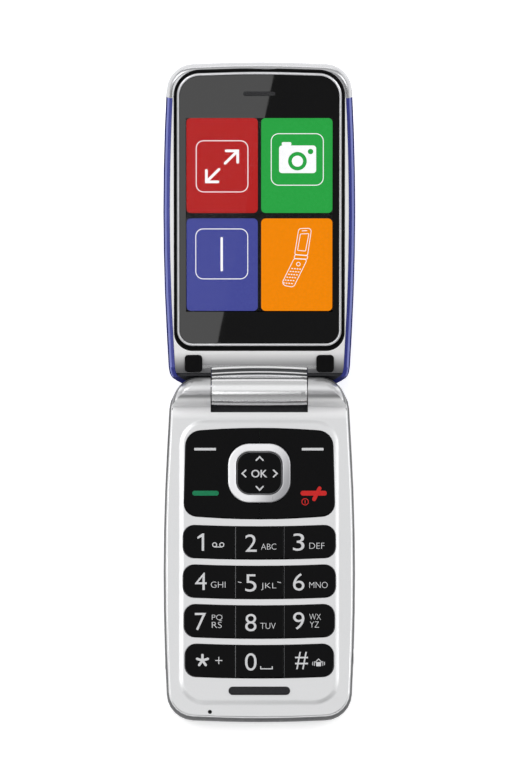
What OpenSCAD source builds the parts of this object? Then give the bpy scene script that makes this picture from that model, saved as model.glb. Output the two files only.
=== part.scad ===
// Flip phone, open, lying on its back.
// X runs across the keys, Y from the chin towards the lid, Z up out of the keypad.
// The origin is the middle of the flat back face. Millimetres.

/* [Case] */
// Widest width of the phone
case_w = 56.5; // [55:0.5:62]
// Reach of the keypad half, from the hinge axis to the chin
base_reach = 97.6; // [96.6:0.2:104]
// Reach of the lid, from the hinge axis to its top end
lid_reach = 97.6; // [96.6:0.2:104]
// Height of the silver face round the keypad above the back
face_z = 9; // [8.8:0.1:9.2]
// Height of the seam between the front cover and the rear housing
seam_z = 5; // [4.8:0.1:5.2]
// Height at which the side wall is widest
waist_z = 4.4; // [3.8:0.1:4.8]
// How far the back face is set in from the widest outline
back_inset = 3.2; // [2.4:0.1:3.6]
// How far the front face is set in from the widest outline
face_inset = 1.2; // [0.8:0.1:1.4]
// Radius of the chin and lid-top corners
corner_r = 8; // [6:0.5:9]
// Radius of the hinge shoulders' corners, seen from the front
shoulder_corner_r = 9; // [7:0.5:10]
// Wall thickness of the keypad half's shells
wall = 1.5; // [1.3:0.1:1.7]

/* [Hinge] */
// Angle between the two halves when open
open_angle = 160; // [150:1:165]
// Height of the hinge axis above the back
hinge_z = 11.4; // [11.3:0.1:11.8]
// Radius of the shoulders and of the barrel between them
barrel_r = 4.2; // [4:0.1:4.3]
// Length of the barrel
barrel_len = 28.1; // [26:0.1:30]
// Gap between the barrel and each shoulder
barrel_gap = 0.3; // [0.2:0.05:0.5]
// Radial gap between the shoulders and the hollow end of the lid
sweep_gap = 0.3; // [0.2:0.05:0.5]
// Radius of the hinge shaft
shaft_r = 1.2; // [1:0.1:1.4]
// Outer radius of the cable bush
bush_r = 2; // [1.8:0.1:2.2]
// Radial running clearance of shaft and bush
run_gap = 0.05; // [0.02:0.01:0.1]
// Outer radius of the spring hinge's can
can_r = 2.8; // [2.6:0.1:3]

/* [Keys] */
// Web between two number rows
row_web = 2.01; // [1.9:0.01:2.3]
// Room from the middle of the last number row to the chin
chin_room = 17.49; // [17:0.01:18]
// Distance of the first number row from the hinge axis
first_row = 44.8; // [44.6:0.1:45.2]
// Room between the first number row and the widest outline
row_margin = 5.75; // [5.5:0.05:6]
// How far the rows bow towards the chin in the middle
row_bow = 0.55; // [0.3:0.05:0.7]
// Height of the number keys' tops above the back
key_top_z = 9.9; // [9.7:0.05:9.95]
// Travel of a number key
key_travel = 0.3; // [0.2:0.05:0.3]
// Gap round a key in its opening
key_gap = 0.12; // [0.08:0.01:0.18]
// Height of the function plates' tops above the back
plate_top_z = 9.7; // [9.6:0.05:9.8]
// Distance of the function panel's top edge from the hinge axis
panel_top = 11; // [10.8:0.1:11.4]
// Distance of the function panel's bottom edge from the hinge axis
panel_bottom = 37.7; // [37.2:0.1:38]
// Half width of the four-way ring
ring_half_w = 9.2; // [8.8:0.1:9.4]
// Half height of the four-way ring
ring_half_h = 8.8; // [8.4:0.1:9]
// Width of the four-way ring's rim
ring_rim = 2.35; // [2:0.05:2.6]

/* [Lid] */
// Height of the lid's inner face over the hinge axis plane
inner_n = 1.1; // [1:0.05:1.15]
// Thickness of the lid
lid_t = 7.7; // [7.4:0.1:8]
// Distance from the hinge axis to the silver frame's lower edge
frame_start = 5.66; // [5.6:0.02:5.9]
// Length of the silver top end over the blue cover
cap_l = 10.1; // [9.6:0.1:11]
// How far the silver frame lies inside the blue cover's widest outline
frame_inset = 1.95; // [1.9:0.05:2.2]
// Room between the window and the widest outline
window_margin = 4.85; // [4.7:0.05:5.2]
// Distance from the hinge axis to the window's lower edge
window_start = 14.46; // [14.2:0.02:14.8]
// Room between the window's upper edge and the lid's top end
window_top_room = 3.45; // [3.2:0.05:3.7]
// Width of the bright ring round the window
ring_w = 0.85; // [0.7:0.05:1]
// Width of the groove round the bright ring
groove_w = 0.6; // [0.4:0.05:0.7]
// Black border beside the display's lit area
border_side = 1.8; // [1.7:0.05:2]
// Black border below the display's lit area
border_low = 9.44; // [9.2:0.02:9.8]
// Black border above the display's lit area
border_top = 12.65; // [12.4:0.05:12.9]
// Side of a square rubber stop
bumper_w = 5.1; // [4.8:0.1:5.2]

/* [Inside] */
// Room between the battery and the widest outline
battery_margin = 10.75; // [10.65:0.05:12]
// Room between the battery and the chin
battery_tail = 27.6; // [27.2:0.1:29]
// Thickness of the battery cover
cover_t = 1.1; // [1:0.05:1.15]
// Room between the battery cover and the widest outline
cover_margin = 6.25; // [6.25:0.05:7]
// Underside of the main board above the back
board_z = 6; // [5.9:0.05:6.1]
// Thickness of the main board
board_t = 0.8; // [0.6:0.1:0.9]
// Top of the rubber key mat above the back
mat_top_z = 7.4; // [7.3:0.05:7.42]
// Bore radius of the headset jack
jack_r = 1.8; // [1.76:0.01:1.85]

/* [Hidden] */
$fn = 64;
eps = 0.05;

half_w = case_w / 2;
hinge_y = base_reach / 2;
// Turn of each long side from its middle to its end, and of the chin
side_angle = 3.03;
chin_angle = 2.5;
chin_radius = 360;
side_mid = 53;
side_radius = (min(base_reach, lid_reach) - side_mid - 1.075 * corner_r) / tan(side_angle);
widest_x = half_w + side_radius * (1 / cos(side_angle) - 1);
chin_lift = chin_radius * (1 / cos(chin_angle) - 1);
function side_x(d) = widest_x - abs(d - side_mid) * tan(side_angle);

// Outer n of the lid, its widest level, and the insets of its two faces
outer_n = inner_n - lid_t;
lid_waist_n = outer_n + 4.4;
lid_outer_inset = 5.2;
lid_inner_inset = 1.8;
lid_end = 0.2;
lid_end_r = 7;
lid_wall = 1;
rim_top_n = inner_n - 0.35;
frame_back_n = inner_n - 2;
cap_front_n = inner_n - 2.9;

sweep_r = barrel_r + sweep_gap;
notch_half_w = barrel_len / 2 + barrel_gap;
notch_floor_z = hinge_z - sweep_r - sweep_gap;
notch_edge = barrel_r + 1.74;
rear_wall = 0.9;
ceiling_z = face_z - 0.7;
plateau_z = face_z + 0.4;
plateau_half_w = half_w - 6.05;
plateau_top = 9.6;
plateau_bottom = base_reach - 6;
plateau_r = 6;
plateau_slope = 2.3;
cavity_start = 7.5;

floor_z = cover_t + 0.1;
floor_top_z = floor_z + 0.8;
cover_start = 14;
cover_gap = 0.15;
tongue_w = 0.7;
tongue_low = 0.6;
bay_gap = 0.3;
cover_half_w = half_w - cover_margin;
battery_start = 20;
battery_l = base_reach - battery_tail - battery_start;
battery_w = 2 * (half_w - battery_margin);
battery_z = floor_z + 0.2;
battery_top_z = board_z - 0.4;
board_top_z = board_z + board_t;
mat_z = board_top_z + 0.25;
mat_start = 13;
mat_half_w = half_w - 4.75;
mat_end = base_reach - 11.6;

key_flange = 0.6;
flange_z = mat_top_z + key_travel + eps;
flange_top_z = ceiling_z - 0.15;
row_trim = [0, 0, 0.3, 0.6];
row_pitch = (base_reach - chin_room - first_row) / 3;
row_half_w = half_w - row_margin;
key_h = row_pitch - row_web;
key_corner_r = min(3.3, key_h / 2.9);
// Half distance between the two seams of a row
seam_x = 0.32 * row_half_w;
key_crown_r = 60;
panel_ends = 0.8;
panel_flare = 0.6;
plate_z = ceiling_z + 0.15;
plate_seam = 0.12;
// Places of the four knobs under the function plates
knob_x = row_half_w - 7;
knob_d = [panel_top + 4, panel_bottom - 4.7];
ring_mid = 24.27;
ring_corner_r = 6.4;
ring_top_z = 10;
pad_top_z = 9.85;
pad_gap = 0.15;

jack_d = base_reach - 19.6;
jack_outer_r = 2.35;
jack_inner_x = half_w - 14.25;
jack_body = 3;
usb_d = base_reach - 19.6;
usb_w = 7.6;
usb_h = 2.6;
usb_z = 2.35;
usb_depth = 5.4;
// How far the port mouths lie inside the widest outline
port_x = 0.55;
screw_x = [notch_half_w + 2.15, half_w - 8.75];
screw_d = [9.4, base_reach - 7.1];
screw_head_z = [0.15, floor_z + eps];
screw_head_r = 1.5;
screw_head_h = 0.8;
screw_r = 0.7;
boss_r = 2.1;
mic_x = -14.5;
mic_d = base_reach - 2.4;
mic_r = 0.6;
pad_d = base_reach - 8.6;
pad_w = 18;
pad_h = 2.4;
pad_top = 10.05;
motor_d = base_reach - 18.6;

cap_seam = lid_reach - cap_l;
window_half_w = half_w - window_margin;
window_end = lid_reach - window_top_room;
display_w = 2 * (window_half_w - border_side);
display_start = window_start + border_low;
display_l = window_end - border_top - display_start;
bumper_x = half_w - 8.85;
bumper_s = frame_start + 2.74;
bumper_floor_n = inner_n - 0.8;
bumper_out = 0.7;
ledge_n = inner_n - 1.3;
slot_s = lid_reach - 8.9;
slot_w = 9.4;
slot_h = 1.27;
earpiece_half_h = 3.1;
camera_s = lid_reach - 18.6;
lens_r = 3.1;
led_s = [camera_s - 41, camera_s - 19];
led_w = 1.8;
can_x = [-barrel_len / 2, -1];
cam_x = [can_x[0] + 1.65, can_x[0] + 4.55];
follower_end_x = cam_x[1] + 2.3;
shaft_x = [-notch_half_w - 5.65, follower_end_x - 0.4];
bush_x = [6.5, notch_half_w + 4.65];
cable_x = bush_x[1] + 1.4;
shoulder_inset = 0.9;
shoulder_round = 3.6;

// ---- drawing helpers ----

function unit(v) = v / norm(v);
function turned(v, a) = [v.x * cos(a) - v.y * sin(a), v.x * sin(a) + v.y * cos(a)];
function cross2(a, b) = a.x * b.y - a.y * b.x;
function flat(c) = [c.x, c.y];

// Outline through corners [x, y, radius], counter-clockwise, moved inwards by inset.
function rounded(corners, inset = 0, steps = 6) =
    let(n = len(corners))
    [for (i = [0:n - 1])
        let(p = flat(corners[(i + n - 1) % n]), q = flat(corners[i]), r = flat(corners[(i + 1) % n]),
            u = unit(q - p), v = unit(r - q), nu = [-u.y, u.x], nv = [-v.y, v.x],
            turn = atan2(cross2(u, v), u * v), side = turn > 0 ? 1 : -1,
            moved = q + inset * (nu + nv) / (1 + nu * nv),
            radius = max(corners[i][2] - side * inset, 0.05),
            start = moved - u * radius * tan(abs(turn) / 2),
            centre = start + nu * radius * side)
        for (k = [0:steps]) centre + turned(-nu * radius * side, turn * k / steps)];

function ring(outline, z) = [for (p = outline) [p.x, p.y, z]];

// Closed solid through rings of equally many points.
module loft(rings) {
    n = len(rings[0]);
    last = (len(rings) - 1) * n;
    polyhedron(
        points = [for (r = rings) each r],
        faces = concat(
            [[for (i = [0:n - 1]) i]],
            [[for (i = [n - 1:-1:0]) last + i]],
            [for (j = [0:len(rings) - 2], i = [0:n - 1])
                let(k = (i + 1) % n)
                [j * n + i, (j + 1) * n + i, (j + 1) * n + k, j * n + k]]));
}

// Rounded slab that is widest at z_wide and set in by in_low and in_top at its faces.
module pebble(corners, z_low, z_wide, z_top, in_low, in_top, steps = 7) {
    lower = [for (k = [0:steps]) let(a = 90 * k / steps)
        ring(rounded(corners, in_low * (1 - sin(a))), z_wide - (z_wide - z_low) * cos(a))];
    upper = [for (k = [1:steps]) let(a = 90 * k / steps)
        ring(rounded(corners, in_top * (1 - cos(a))), z_wide + (z_top - z_wide) * sin(a))];
    loft(concat(lower, upper));
}

// Slab of a flat outline between two heights.
module slab(z_low, z_top) {
    translate([0, 0, z_low]) linear_extrude(z_top - z_low) children();
}

// Profile in Y and Z, drawn out along X about the middle.
module along_x(length) {
    rotate([90, 0, 90]) linear_extrude(length, center = true) children();
}

// Cylinder along X between two places.
module rod_x(x, r) {
    translate([x[0], 0, 0]) rotate([0, 90, 0]) cylinder(h = x[1] - x[0], r = r);
}

module block(low, high) {
    translate(low) cube(high - low);
}

function box_corners(half, low, high, r) =
    [[-half, low, r], [half, low, r], [half, high, r], [-half, high, r]];

module in_base() {
    translate([0, hinge_y, 0]) children();
}

module in_lid() {
    translate([0, hinge_y, hinge_z]) rotate([180 - open_angle, 0, 0]) children();
}

// ---- keypad half ----

base_corners =
    let(end_x = side_x(base_reach), end_y = -base_reach - chin_lift + end_x * tan(chin_angle))
    [[-end_x, end_y, corner_r], [0, -base_reach - chin_lift, chin_radius], [end_x, end_y, corner_r],
     [widest_x, -side_mid, side_radius],
     [side_x(-barrel_r), barrel_r, shoulder_corner_r], [-side_x(-barrel_r), barrel_r, shoulder_corner_r],
     [-widest_x, -side_mid, side_radius]];

module base_form() {
    difference() {
        pebble(base_corners, 0, waist_z, face_z, back_inset, face_inset);
        along_x(case_w + 10) rear_profile();
    }
}

// Everything behind the rear wall and below the shoulders.
module rear_profile() {
    heel_r = 2.5;
    difference() {
        translate([rear_wall - heel_r, -1]) square([12, hinge_z + 1]);
        translate([rear_wall - heel_r, heel_r]) circle(heel_r);
        translate([rear_wall - heel_r - 1, heel_r]) square([heel_r + 1, hinge_z]);
        translate([0, hinge_z]) circle(barrel_r);
    }
}

// Round shoulder with a hollow fillet down to the face.
module shoulder_profile() {
    fillet_r = 1.5;
    reach = barrel_r + fillet_r;
    lift = face_z + fillet_r - hinge_z;
    out = -sqrt(reach * reach - lift * lift);
    top_angle = atan2(-lift, -out);
    translate([0, hinge_z]) circle(barrel_r);
    polygon(concat(
        [for (k = [0:8]) let(a = -90 + (top_angle + 90) * k / 8)
            [out + fillet_r * cos(a), face_z + fillet_r + fillet_r * sin(a)]],
        [[0, hinge_z], [0, seam_z], [out, seam_z]]));
}

shoulder_corners =
    let(start = -12, x = side_x(-barrel_r) - shoulder_inset, start_x = side_x(-start) - shoulder_inset,
        r = shoulder_corner_r - shoulder_inset)
    [[-start_x, start, 1], [start_x, start, 1], [x, barrel_r + 0.1, r], [-x, barrel_r + 0.1, r]];

module shoulders() {
    wall_top = hinge_z - 1;
    intersection() {
        along_x(case_w) shoulder_profile();
        loft(concat([ring(rounded(shoulder_corners, 0, 9), seam_z)], [for (k = [0:9]) let(a = 10 * k)
            ring(rounded(shoulder_corners, shoulder_round * (1 - cos(a)), 9),
                wall_top + (hinge_z + barrel_r + eps - wall_top) * sin(a))]));
    }
}

module plateau() {
    corners = box_corners(plateau_half_w, -plateau_bottom, -plateau_top, plateau_r);
    rise = plateau_z - face_z + 0.2;
    loft([
        ring(rounded(corners, -plateau_slope), plateau_z - rise),
        ring(rounded(corners, -plateau_slope * 0.45), plateau_z - rise * 0.35),
        ring(rounded(corners, -plateau_slope * 0.12), plateau_z - rise * 0.06),
        ring(rounded(corners, 0.1), plateau_z)]);
}

// Corners of a number row, whose long edges bow towards the chin.
function row_corners(row) =
    let(half = row_half_w - row_trim[row], y = -first_row - row * row_pitch,
        top = y + key_h / 2 + row_bow / 2, low = y - key_h / 2 + row_bow / 2,
        dip = 1.7 * row_bow, r = 0.8 * half * half / dip)
    [[-half, low, key_corner_r], [0, low - dip, r], [half, low, key_corner_r],
     [half, top, key_corner_r], [0, top - dip, r], [-half, top, key_corner_r]];

panel_corners =
    let(low_half = row_half_w - 0.2, top_half = low_half - panel_flare,
        r = 0.7 * low_half * low_half / (2 * panel_ends))
    [[-low_half, -panel_bottom + panel_ends, 3.9], [0, -panel_bottom - panel_ends, r],
     [low_half, -panel_bottom + panel_ends, 3.9], [top_half, -panel_top - panel_ends, 4.6],
     [0, -panel_top + panel_ends, r], [-top_half, -panel_top - panel_ends, 4.6]];

ring_corners = [[-ring_half_w, -ring_mid - ring_half_h, ring_corner_r],
    [ring_half_w, -ring_mid - ring_half_h, ring_corner_r],
    [ring_half_w, -ring_mid + ring_half_h, ring_corner_r],
    [-ring_half_w, -ring_mid + ring_half_h, ring_corner_r]];

chin_pad_corners = box_corners(pad_w / 2, -pad_d - pad_h / 2, -pad_d + pad_h / 2, pad_h / 2 - 0.05);

module cavity_outline(inset) {
    intersection() {
        polygon(rounded(base_corners, inset));
        translate([-half_w, -base_reach]) square([case_w, base_reach - cavity_start]);
    }
}

module at_screws() {
    for (i = [0, 1], side = [-1, 1])
        translate([side * screw_x[i], -screw_d[i], 0]) children();
}

module jack_hole() {
    translate([0, -jack_d, waist_z]) rod_x([jack_inner_x, half_w + 2], jack_outer_r + eps);
}

// Channel that leads the cable out of the right shoulder to the board.
module cable_channel() {
    translate([cable_x, 0, 0]) along_x(3) polygon([[-cavity_start - 1, 7.4], [-0.6, 7.4], [-0.6, 9.2],
        [1.4, 9.8], [1.4, 12.8], [-1.4, 12.8], [-1.4, ceiling_z], [-cavity_start - 1, ceiling_z]]);
}

module base_front_cover() {
    color("silver") in_base() difference() {
        union() {
            intersection() {
                base_form();
                block([-half_w - 1, -base_reach - 1, seam_z], [half_w + 1, 10, face_z + 1]);
            }
            plateau();
            shoulders();
        }
        difference() {
            slab(seam_z - 1, ceiling_z) cavity_outline(wall);
            at_screws() cylinder(h = ceiling_z + 1, r = boss_r);
        }
        at_screws() cylinder(h = ceiling_z - 0.6, r = screw_r);
        for (row = [0:3])
            slab(ceiling_z - 1, plateau_z + 1) polygon(rounded(row_corners(row), -key_gap));
        slab(ceiling_z - 1, plateau_z + 1) polygon(rounded(panel_corners, -key_gap));
        slab(ceiling_z + 0.3, plateau_z + 1) polygon(rounded(chin_pad_corners, -eps));
        translate([mic_x, -mic_d, 0]) cylinder(h = 20, r = mic_r);
        block([-notch_half_w, -notch_edge, notch_floor_z], [notch_half_w, 10, hinge_z + 10]);
        translate([0, 0, hinge_z]) rod_x([shaft_x[0], 0], shaft_r);
        translate([0, 0, hinge_z]) rod_x([0, bush_x[1]], bush_r);
        cable_channel();
        jack_hole();
    }
}

module cover_grip() {
    for (i = [0:4])
        translate([0, -cover_start - 7 - 1.9 * i, 0])
            block([-6 + 0.5 * i, -0.45, -1], [6 - 0.5 * i, 0.45, 0.35]);
}

module base_rear_housing() {
    color("gainsboro") in_base() difference() {
        union() {
            difference() {
                intersection() {
                    base_form();
                    block([-half_w - 1, -base_reach - 1, -1], [half_w + 1, 10, seam_z]);
                }
                slab(floor_top_z, seam_z + 1) cavity_outline(wall + 0.1);
            }
            at_screws() translate([0, 0, floor_top_z - eps]) cylinder(h = seam_z - floor_top_z + eps, r = boss_r);
        }
        block([-cover_half_w - cover_gap, -base_reach - 5, -1],
            [cover_half_w + cover_gap, -cover_start + cover_gap, floor_z]);
        block([-cover_half_w - tongue_w - cover_gap, -base_reach - 5, tongue_low - 0.1],
            [cover_half_w + tongue_w + cover_gap, -battery_start, floor_z]);
        block([-battery_w / 2 - bay_gap, -battery_start - battery_l - bay_gap, 0],
            [battery_w / 2 + bay_gap, -battery_start + bay_gap, floor_top_z + 1]);
        at_screws() cylinder(h = seam_z + 1, r = screw_r + 0.15);
        for (i = [0, 1], side = [-1, 1])
            translate([side * screw_x[i], -screw_d[i], -1])
                cylinder(h = screw_head_z[i] + screw_head_h + 1, r = screw_head_r + 0.1);
        for (i = [-3:3])
            translate([2.4 * i, 0, 0]) block([-0.6, -12.2, -1], [0.6, -8.4, floor_top_z + 1]);
        block([-half_w - 2, -usb_d - usb_w / 2 - 0.1, usb_z - 0.1],
            [-half_w + 4, -usb_d + usb_w / 2 + 0.1, usb_z + usb_h]);
        jack_hole();
    }
}

module battery_cover() {
    color("silver") in_base() difference() {
        union() {
            intersection() {
                base_form();
                block([-cover_half_w, -base_reach - 1, -1], [cover_half_w, -cover_start, cover_t]);
            }
            for (side = [-1, 1])
                block([side > 0 ? cover_half_w - 1 : -cover_half_w - tongue_w, -mat_end, tongue_low],
                    [side > 0 ? cover_half_w + tongue_w : 1 - cover_half_w, -battery_start - 1, cover_t - 0.1]);
        }
        cover_grip();
    }
}

module battery() {
    color("dimgray") in_base() slab(battery_z, battery_top_z)
        polygon(rounded(box_corners(battery_w / 2, -battery_start - battery_l, -battery_start, 1.5)));
}

module battery_contacts() {
    color("gold") in_base() for (i = [-1:1])
        block([4 * i - 0.8, -battery_start + bay_gap + 0.05, 3.2],
            [4 * i + 0.8, -battery_start + bay_gap + 1.6, board_z]);
}

module sim_holder() {
    low = [3.5 - battery_w / 2, 8 - battery_start - battery_l];
    high = [2, -battery_start - 15];
    color("lightgray") in_base() difference() {
        block([low.x, low.y, battery_top_z + 0.05], [high.x, high.y, board_z]);
        block([low.x + 1.5, low.y + 1.5, battery_top_z - 1], [high.x - 1.5, high.y - 5, board_z + 1]);
    }
}

module main_board() {
    color("darkgreen") in_base() difference() {
        slab(board_z, board_top_z) intersection() {
            polygon(rounded(base_corners, wall + 0.5));
            translate([-half_w, -base_reach]) square([case_w, base_reach - cavity_start - 0.4]);
        }
        at_screws() cylinder(h = 20, r = boss_r + 0.2);
        block([jack_inner_x - 0.6, -jack_d - jack_body - 0.2, 0], [half_w, -jack_d + jack_body + 0.2, 20]);
    }
}

function key_x(col) = (col - 1) * row_half_w / 1.5;
function row_y(row) = -first_row - row * row_pitch;

module key_domes() {
    color("goldenrod") in_base() translate([0, 0, board_top_z]) {
        for (row = [0:3], col = [0:2]) translate([key_x(col), row_y(row), 0]) dome();
        for (side = [-1, 1], d = knob_d) translate([side * knob_x, -d, 0]) dome();
        translate([0, -ring_mid, 0]) dome();
    }
}

module dome() {
    rotate_extrude() polygon([[0, 0], [2.2, 0], [2.2, 0.08], [1.7, 0.14], [0.9, 0.2], [0, 0.2]]);
}

module keypad_mat() {
    color("slategray") in_base() slab(mat_z, mat_top_z)
        polygon(rounded(box_corners(mat_half_w, -mat_end, -mat_start, 3)));
}

// One number key: a crowned cap with a flange under the face, cut from its row.
module number_key(row, col) {
    edge = row_half_w + 3;
    cut = seam_x - key_gap / 2;
    x = [[-edge, -seam_x - key_gap / 2], [-cut, cut], [seam_x + key_gap / 2, edge]][col];
    color([0.08, 0.08, 0.09]) in_base() intersection() {
        union() {
            slab(flange_z, flange_top_z) polygon(rounded(row_corners(row), -key_flange));
            intersection() {
                slab(flange_z, key_top_z) polygon(rounded(row_corners(row)));
                translate([0, row_y(row), key_top_z - key_crown_r]) rod_x([-edge, edge], key_crown_r, $fn = 200);
            }
        }
        block([x[0], row_y(row) - key_h, 0], [x[1], row_y(row) + key_h, 20]);
    }
}

// Half of the function panel, which rocks between its two ends.
module key_plate(side) {
    color([0.07, 0.07, 0.08]) in_base() difference() {
        union() {
            slab(plate_z, plate_top_z) polygon(rounded(panel_corners));
            block([3.5 - row_half_w, -ring_mid - 0.8, mat_top_z + eps],
                [row_half_w - 3.5, -ring_mid + 0.8, plate_z + eps]);
            for (x = [-knob_x, knob_x], d = knob_d)
                translate([x, -d, mat_top_z + 0.5]) cylinder(h = plate_z - mat_top_z - 0.4, r = 1.5);
        }
        slab(0, 20) polygon(rounded(ring_corners, -pad_gap));
        translate([side > 0 ? -50 + plate_seam / 2 : -plate_seam / 2, -60, 0]) cube([50, 60, 20]);
    }
}

module nav_ring() {
    color("silver") in_base() difference() {
        slab(mat_top_z, ring_top_z) polygon(rounded(ring_corners, 0, 10));
        slab(0, 20) polygon(rounded(ring_corners, ring_rim, 10));
    }
}

module nav_pad() {
    color([0.07, 0.07, 0.08]) in_base()
        slab(8.65, pad_top_z) polygon(rounded(ring_corners, ring_rim + pad_gap, 8));
}

module nav_carrier() {
    color("slategray") in_base() translate([0, -ring_mid, 8.1]) cylinder(h = 0.3, r = 3);
}

module nav_plunger() {
    color("slategray") in_base() translate([0, -ring_mid, flange_z]) cylinder(h = 0.2, r = 1.5);
}

module chin_pad() {
    color([0.25, 0.25, 0.26]) in_base() slab(ceiling_z + 0.3, pad_top) polygon(rounded(chin_pad_corners));
}

module loudspeaker() {
    color("dimgray") in_base() difference() {
        slab(floor_top_z, 4.7) polygon(rounded(box_corners(9, 2 - battery_start, -cavity_start - 0.3, 2)));
        translate([0, -12.8, 4]) cylinder(h = 2, r = 3);
    }
}

module microphone() {
    color("gold") in_base() block([mic_x - 1.4, -mic_d + 0.1, board_top_z], [mic_x + 1.4, -mic_d + 2.2, ceiling_z]);
}

module vibration_motor() {
    color("silver") in_base() translate([0, -motor_d, floor_top_z]) cylinder(h = 2.7, r = 4);
}

module usb_port() {
    color("silver") in_base() difference() {
        union() {
            block([port_x - half_w, -usb_d - usb_w / 2, usb_z],
                [-half_w + usb_depth, -usb_d + usb_w / 2, usb_z + usb_h - 0.05]);
            block([-half_w + 3.2, -usb_d - usb_w / 2, usb_z + usb_h - 0.1],
                [-half_w + usb_depth, -usb_d + usb_w / 2, board_z]);
        }
        difference() {
            block([-half_w - 2, -usb_d - 3.45, usb_z + 0.35], [-half_w + usb_depth - 0.6, -usb_d + 3.45, usb_z + 2.2]);
            block([-half_w + 0.8, -usb_d - 1.9, usb_z + 1.3], [-half_w + usb_depth, -usb_d + 1.9, usb_z + 1.8]);
        }
    }
}

module headset_jack() {
    color([0.15, 0.15, 0.16]) in_base() difference() {
        union() {
            translate([0, -jack_d, waist_z]) rod_x([jack_inner_x, half_w - port_x], jack_outer_r);
            block([jack_inner_x, -jack_d - jack_body, floor_top_z],
                [jack_inner_x + 10.5, -jack_d + jack_body, waist_z + jack_outer_r]);
        }
        translate([0, -jack_d, waist_z]) rod_x([jack_inner_x + 1, half_w], jack_r);
    }
}

module case_screws() {
    color("gray") in_base() for (i = [0, 1], side = [-1, 1])
        translate([side * screw_x[i], -screw_d[i], screw_head_z[i]]) difference() {
            union() {
                cylinder(h = screw_head_h, r = screw_head_r);
                cylinder(h = 7 - screw_head_z[i], r = screw_r);
            }
            for (turn = [0, 90]) rotate([0, 0, turn]) block([-0.9, -0.2, -1], [0.9, 0.2, 0.4]);
        }
}

// ---- hinge ----

module hinge_shaft() {
    color("steelblue") in_base() translate([0, 0, hinge_z]) rod_x(shaft_x, shaft_r);
}

module hinge_cam() {
    color("steelblue") in_base() translate([0, 0, hinge_z]) difference() {
        union() {
            rod_x([cam_x[0], cam_x[1] - 0.8], 2.2);
            rod_x([cam_x[1] - 0.9, cam_x[1]], 1.9);
        }
        rod_x([cam_x[0] - 1, cam_x[1] + 1], shaft_r);
    }
}

module hinge_bush() {
    color("silver") in_base() translate([0, 0, hinge_z]) difference() {
        rod_x(bush_x, bush_r);
        rod_x([bush_x[0] - 1, bush_x[1] + 1], bush_r - 0.6);
    }
}

module base_flex_cable() {
    end = -cavity_start - 4.9;
    bend = [end + 2.8, end + 3.6];
    color("peru") in_base() translate([cable_x, 0, 0]) along_x(2.4) polygon([[end, board_top_z],
        [bend[0], board_top_z], [bend[1], 7.55], [-0.75, 7.55], [-0.75, hinge_z], [-0.95, hinge_z],
        [-0.95, 7.75], [bend[1] - 0.1, 7.75], [bend[0] - 0.1, board_top_z + 0.2], [end, board_top_z + 0.2]]);
}

module hinge_module() {
    color("gray") in_lid() difference() {
        rod_x(can_x, can_r);
        rod_x([can_x[0] + 1.5, can_x[1] - 1], can_r - 0.5);
        rod_x([can_x[0] - 1, can_x[0] + 2], shaft_r + run_gap);
    }
    color("gray") in_lid() difference() {
        rod_x([cam_x[1] + 0.1, follower_end_x], can_r - 0.5);
        rod_x([cam_x[1] - 1, follower_end_x + 1], shaft_r + run_gap);
    }
}

module hinge_spring() {
    wire_r = 0.3;
    coil_r = 1.8;
    turns = 4;
    per_turn = 16;
    length = can_x[1] - 1 - follower_end_x - 2 * wire_r;
    color("gray") in_lid() loft([for (k = [0:turns * per_turn])
        let(a = 360 * k / per_turn, x = follower_end_x + wire_r + length * k / (turns * per_turn))
        [for (i = [0:7]) let(t = 360 * i / 8, r = coil_r + wire_r * cos(t))
            [x + wire_r * sin(t), r * cos(a), r * sin(a)]]]);
}

module lid_flex_cable() {
    color("peru") in_lid() {
        difference() {
            rod_x([0.5, bush_x[1] - 0.2], 1.15);
            rod_x([0, bush_x[1]], 0.95);
        }
        translate([3.3, 0, 0]) along_x(4.6) polygon([[0.6, -0.95], [1, -1.15], [3.2, -1.9], [9.6, -1.9],
            [11, -4], [12.6, -4], [12.6, -4.1], [10.9, -4.1], [9.5, -2.1], [3, -2.1], [0.9, -1.35], [0.5, -1.02]]);
    }
}

// ---- lid: X across, Y away from the hinge axis, Z out of the inner face ----

lid_corners =
    let(end_x = side_x(lid_reach), end_y = lid_reach + chin_lift - end_x * tan(chin_angle),
        low_x = side_x(lid_end))
    [[-low_x, lid_end, lid_end_r], [low_x, lid_end, lid_end_r],
     [widest_x, side_mid, side_radius], [end_x, end_y, corner_r],
     [0, lid_reach + chin_lift, chin_radius], [-end_x, end_y, corner_r],
     [-widest_x, side_mid, side_radius]];

window_corners =
    [[-window_half_w, window_start, 3.8], [window_half_w, window_start, 3.8],
     [window_half_w, window_end - 0.4, 6], [0, window_end + 0.3, 300],
     [-window_half_w, window_end - 0.4, 6]];

// Opening for window and ring: the black groove is wider at both ends than at the sides.
groove_corners =
    let(half = window_half_w + ring_w + groove_w, low = window_start - ring_w - groove_w - 0.5,
        high = window_end + ring_w + groove_w + 0.15)
    [[-half, low, 5.2], [half, low, 5.2], [half, high - 0.4, 7.5], [0, high + 0.3, 300],
     [-half, high - 0.4, 7.5]];

module lid_form() {
    pebble(lid_corners, outer_n, lid_waist_n, inner_n, lid_outer_inset, lid_inner_inset);
}

// Room inside the lid behind the silver frame.
module lid_cavity(end) {
    levels = [[outer_n + lid_wall, lid_outer_inset - 1], [outer_n + 2, frame_inset + 0.95],
        [outer_n + 4, frame_inset - 0.05], [inner_n + 1, 0]];
    for (i = [0:2])
        intersection() {
            slab(levels[i][0], levels[i + 1][0] + (i < 2 ? eps : 0)) polygon(rounded(lid_corners, levels[i][1]));
            block([-half_w, sweep_r + 1.7, outer_n], [half_w, end, inner_n + 2]);
        }
}

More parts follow.
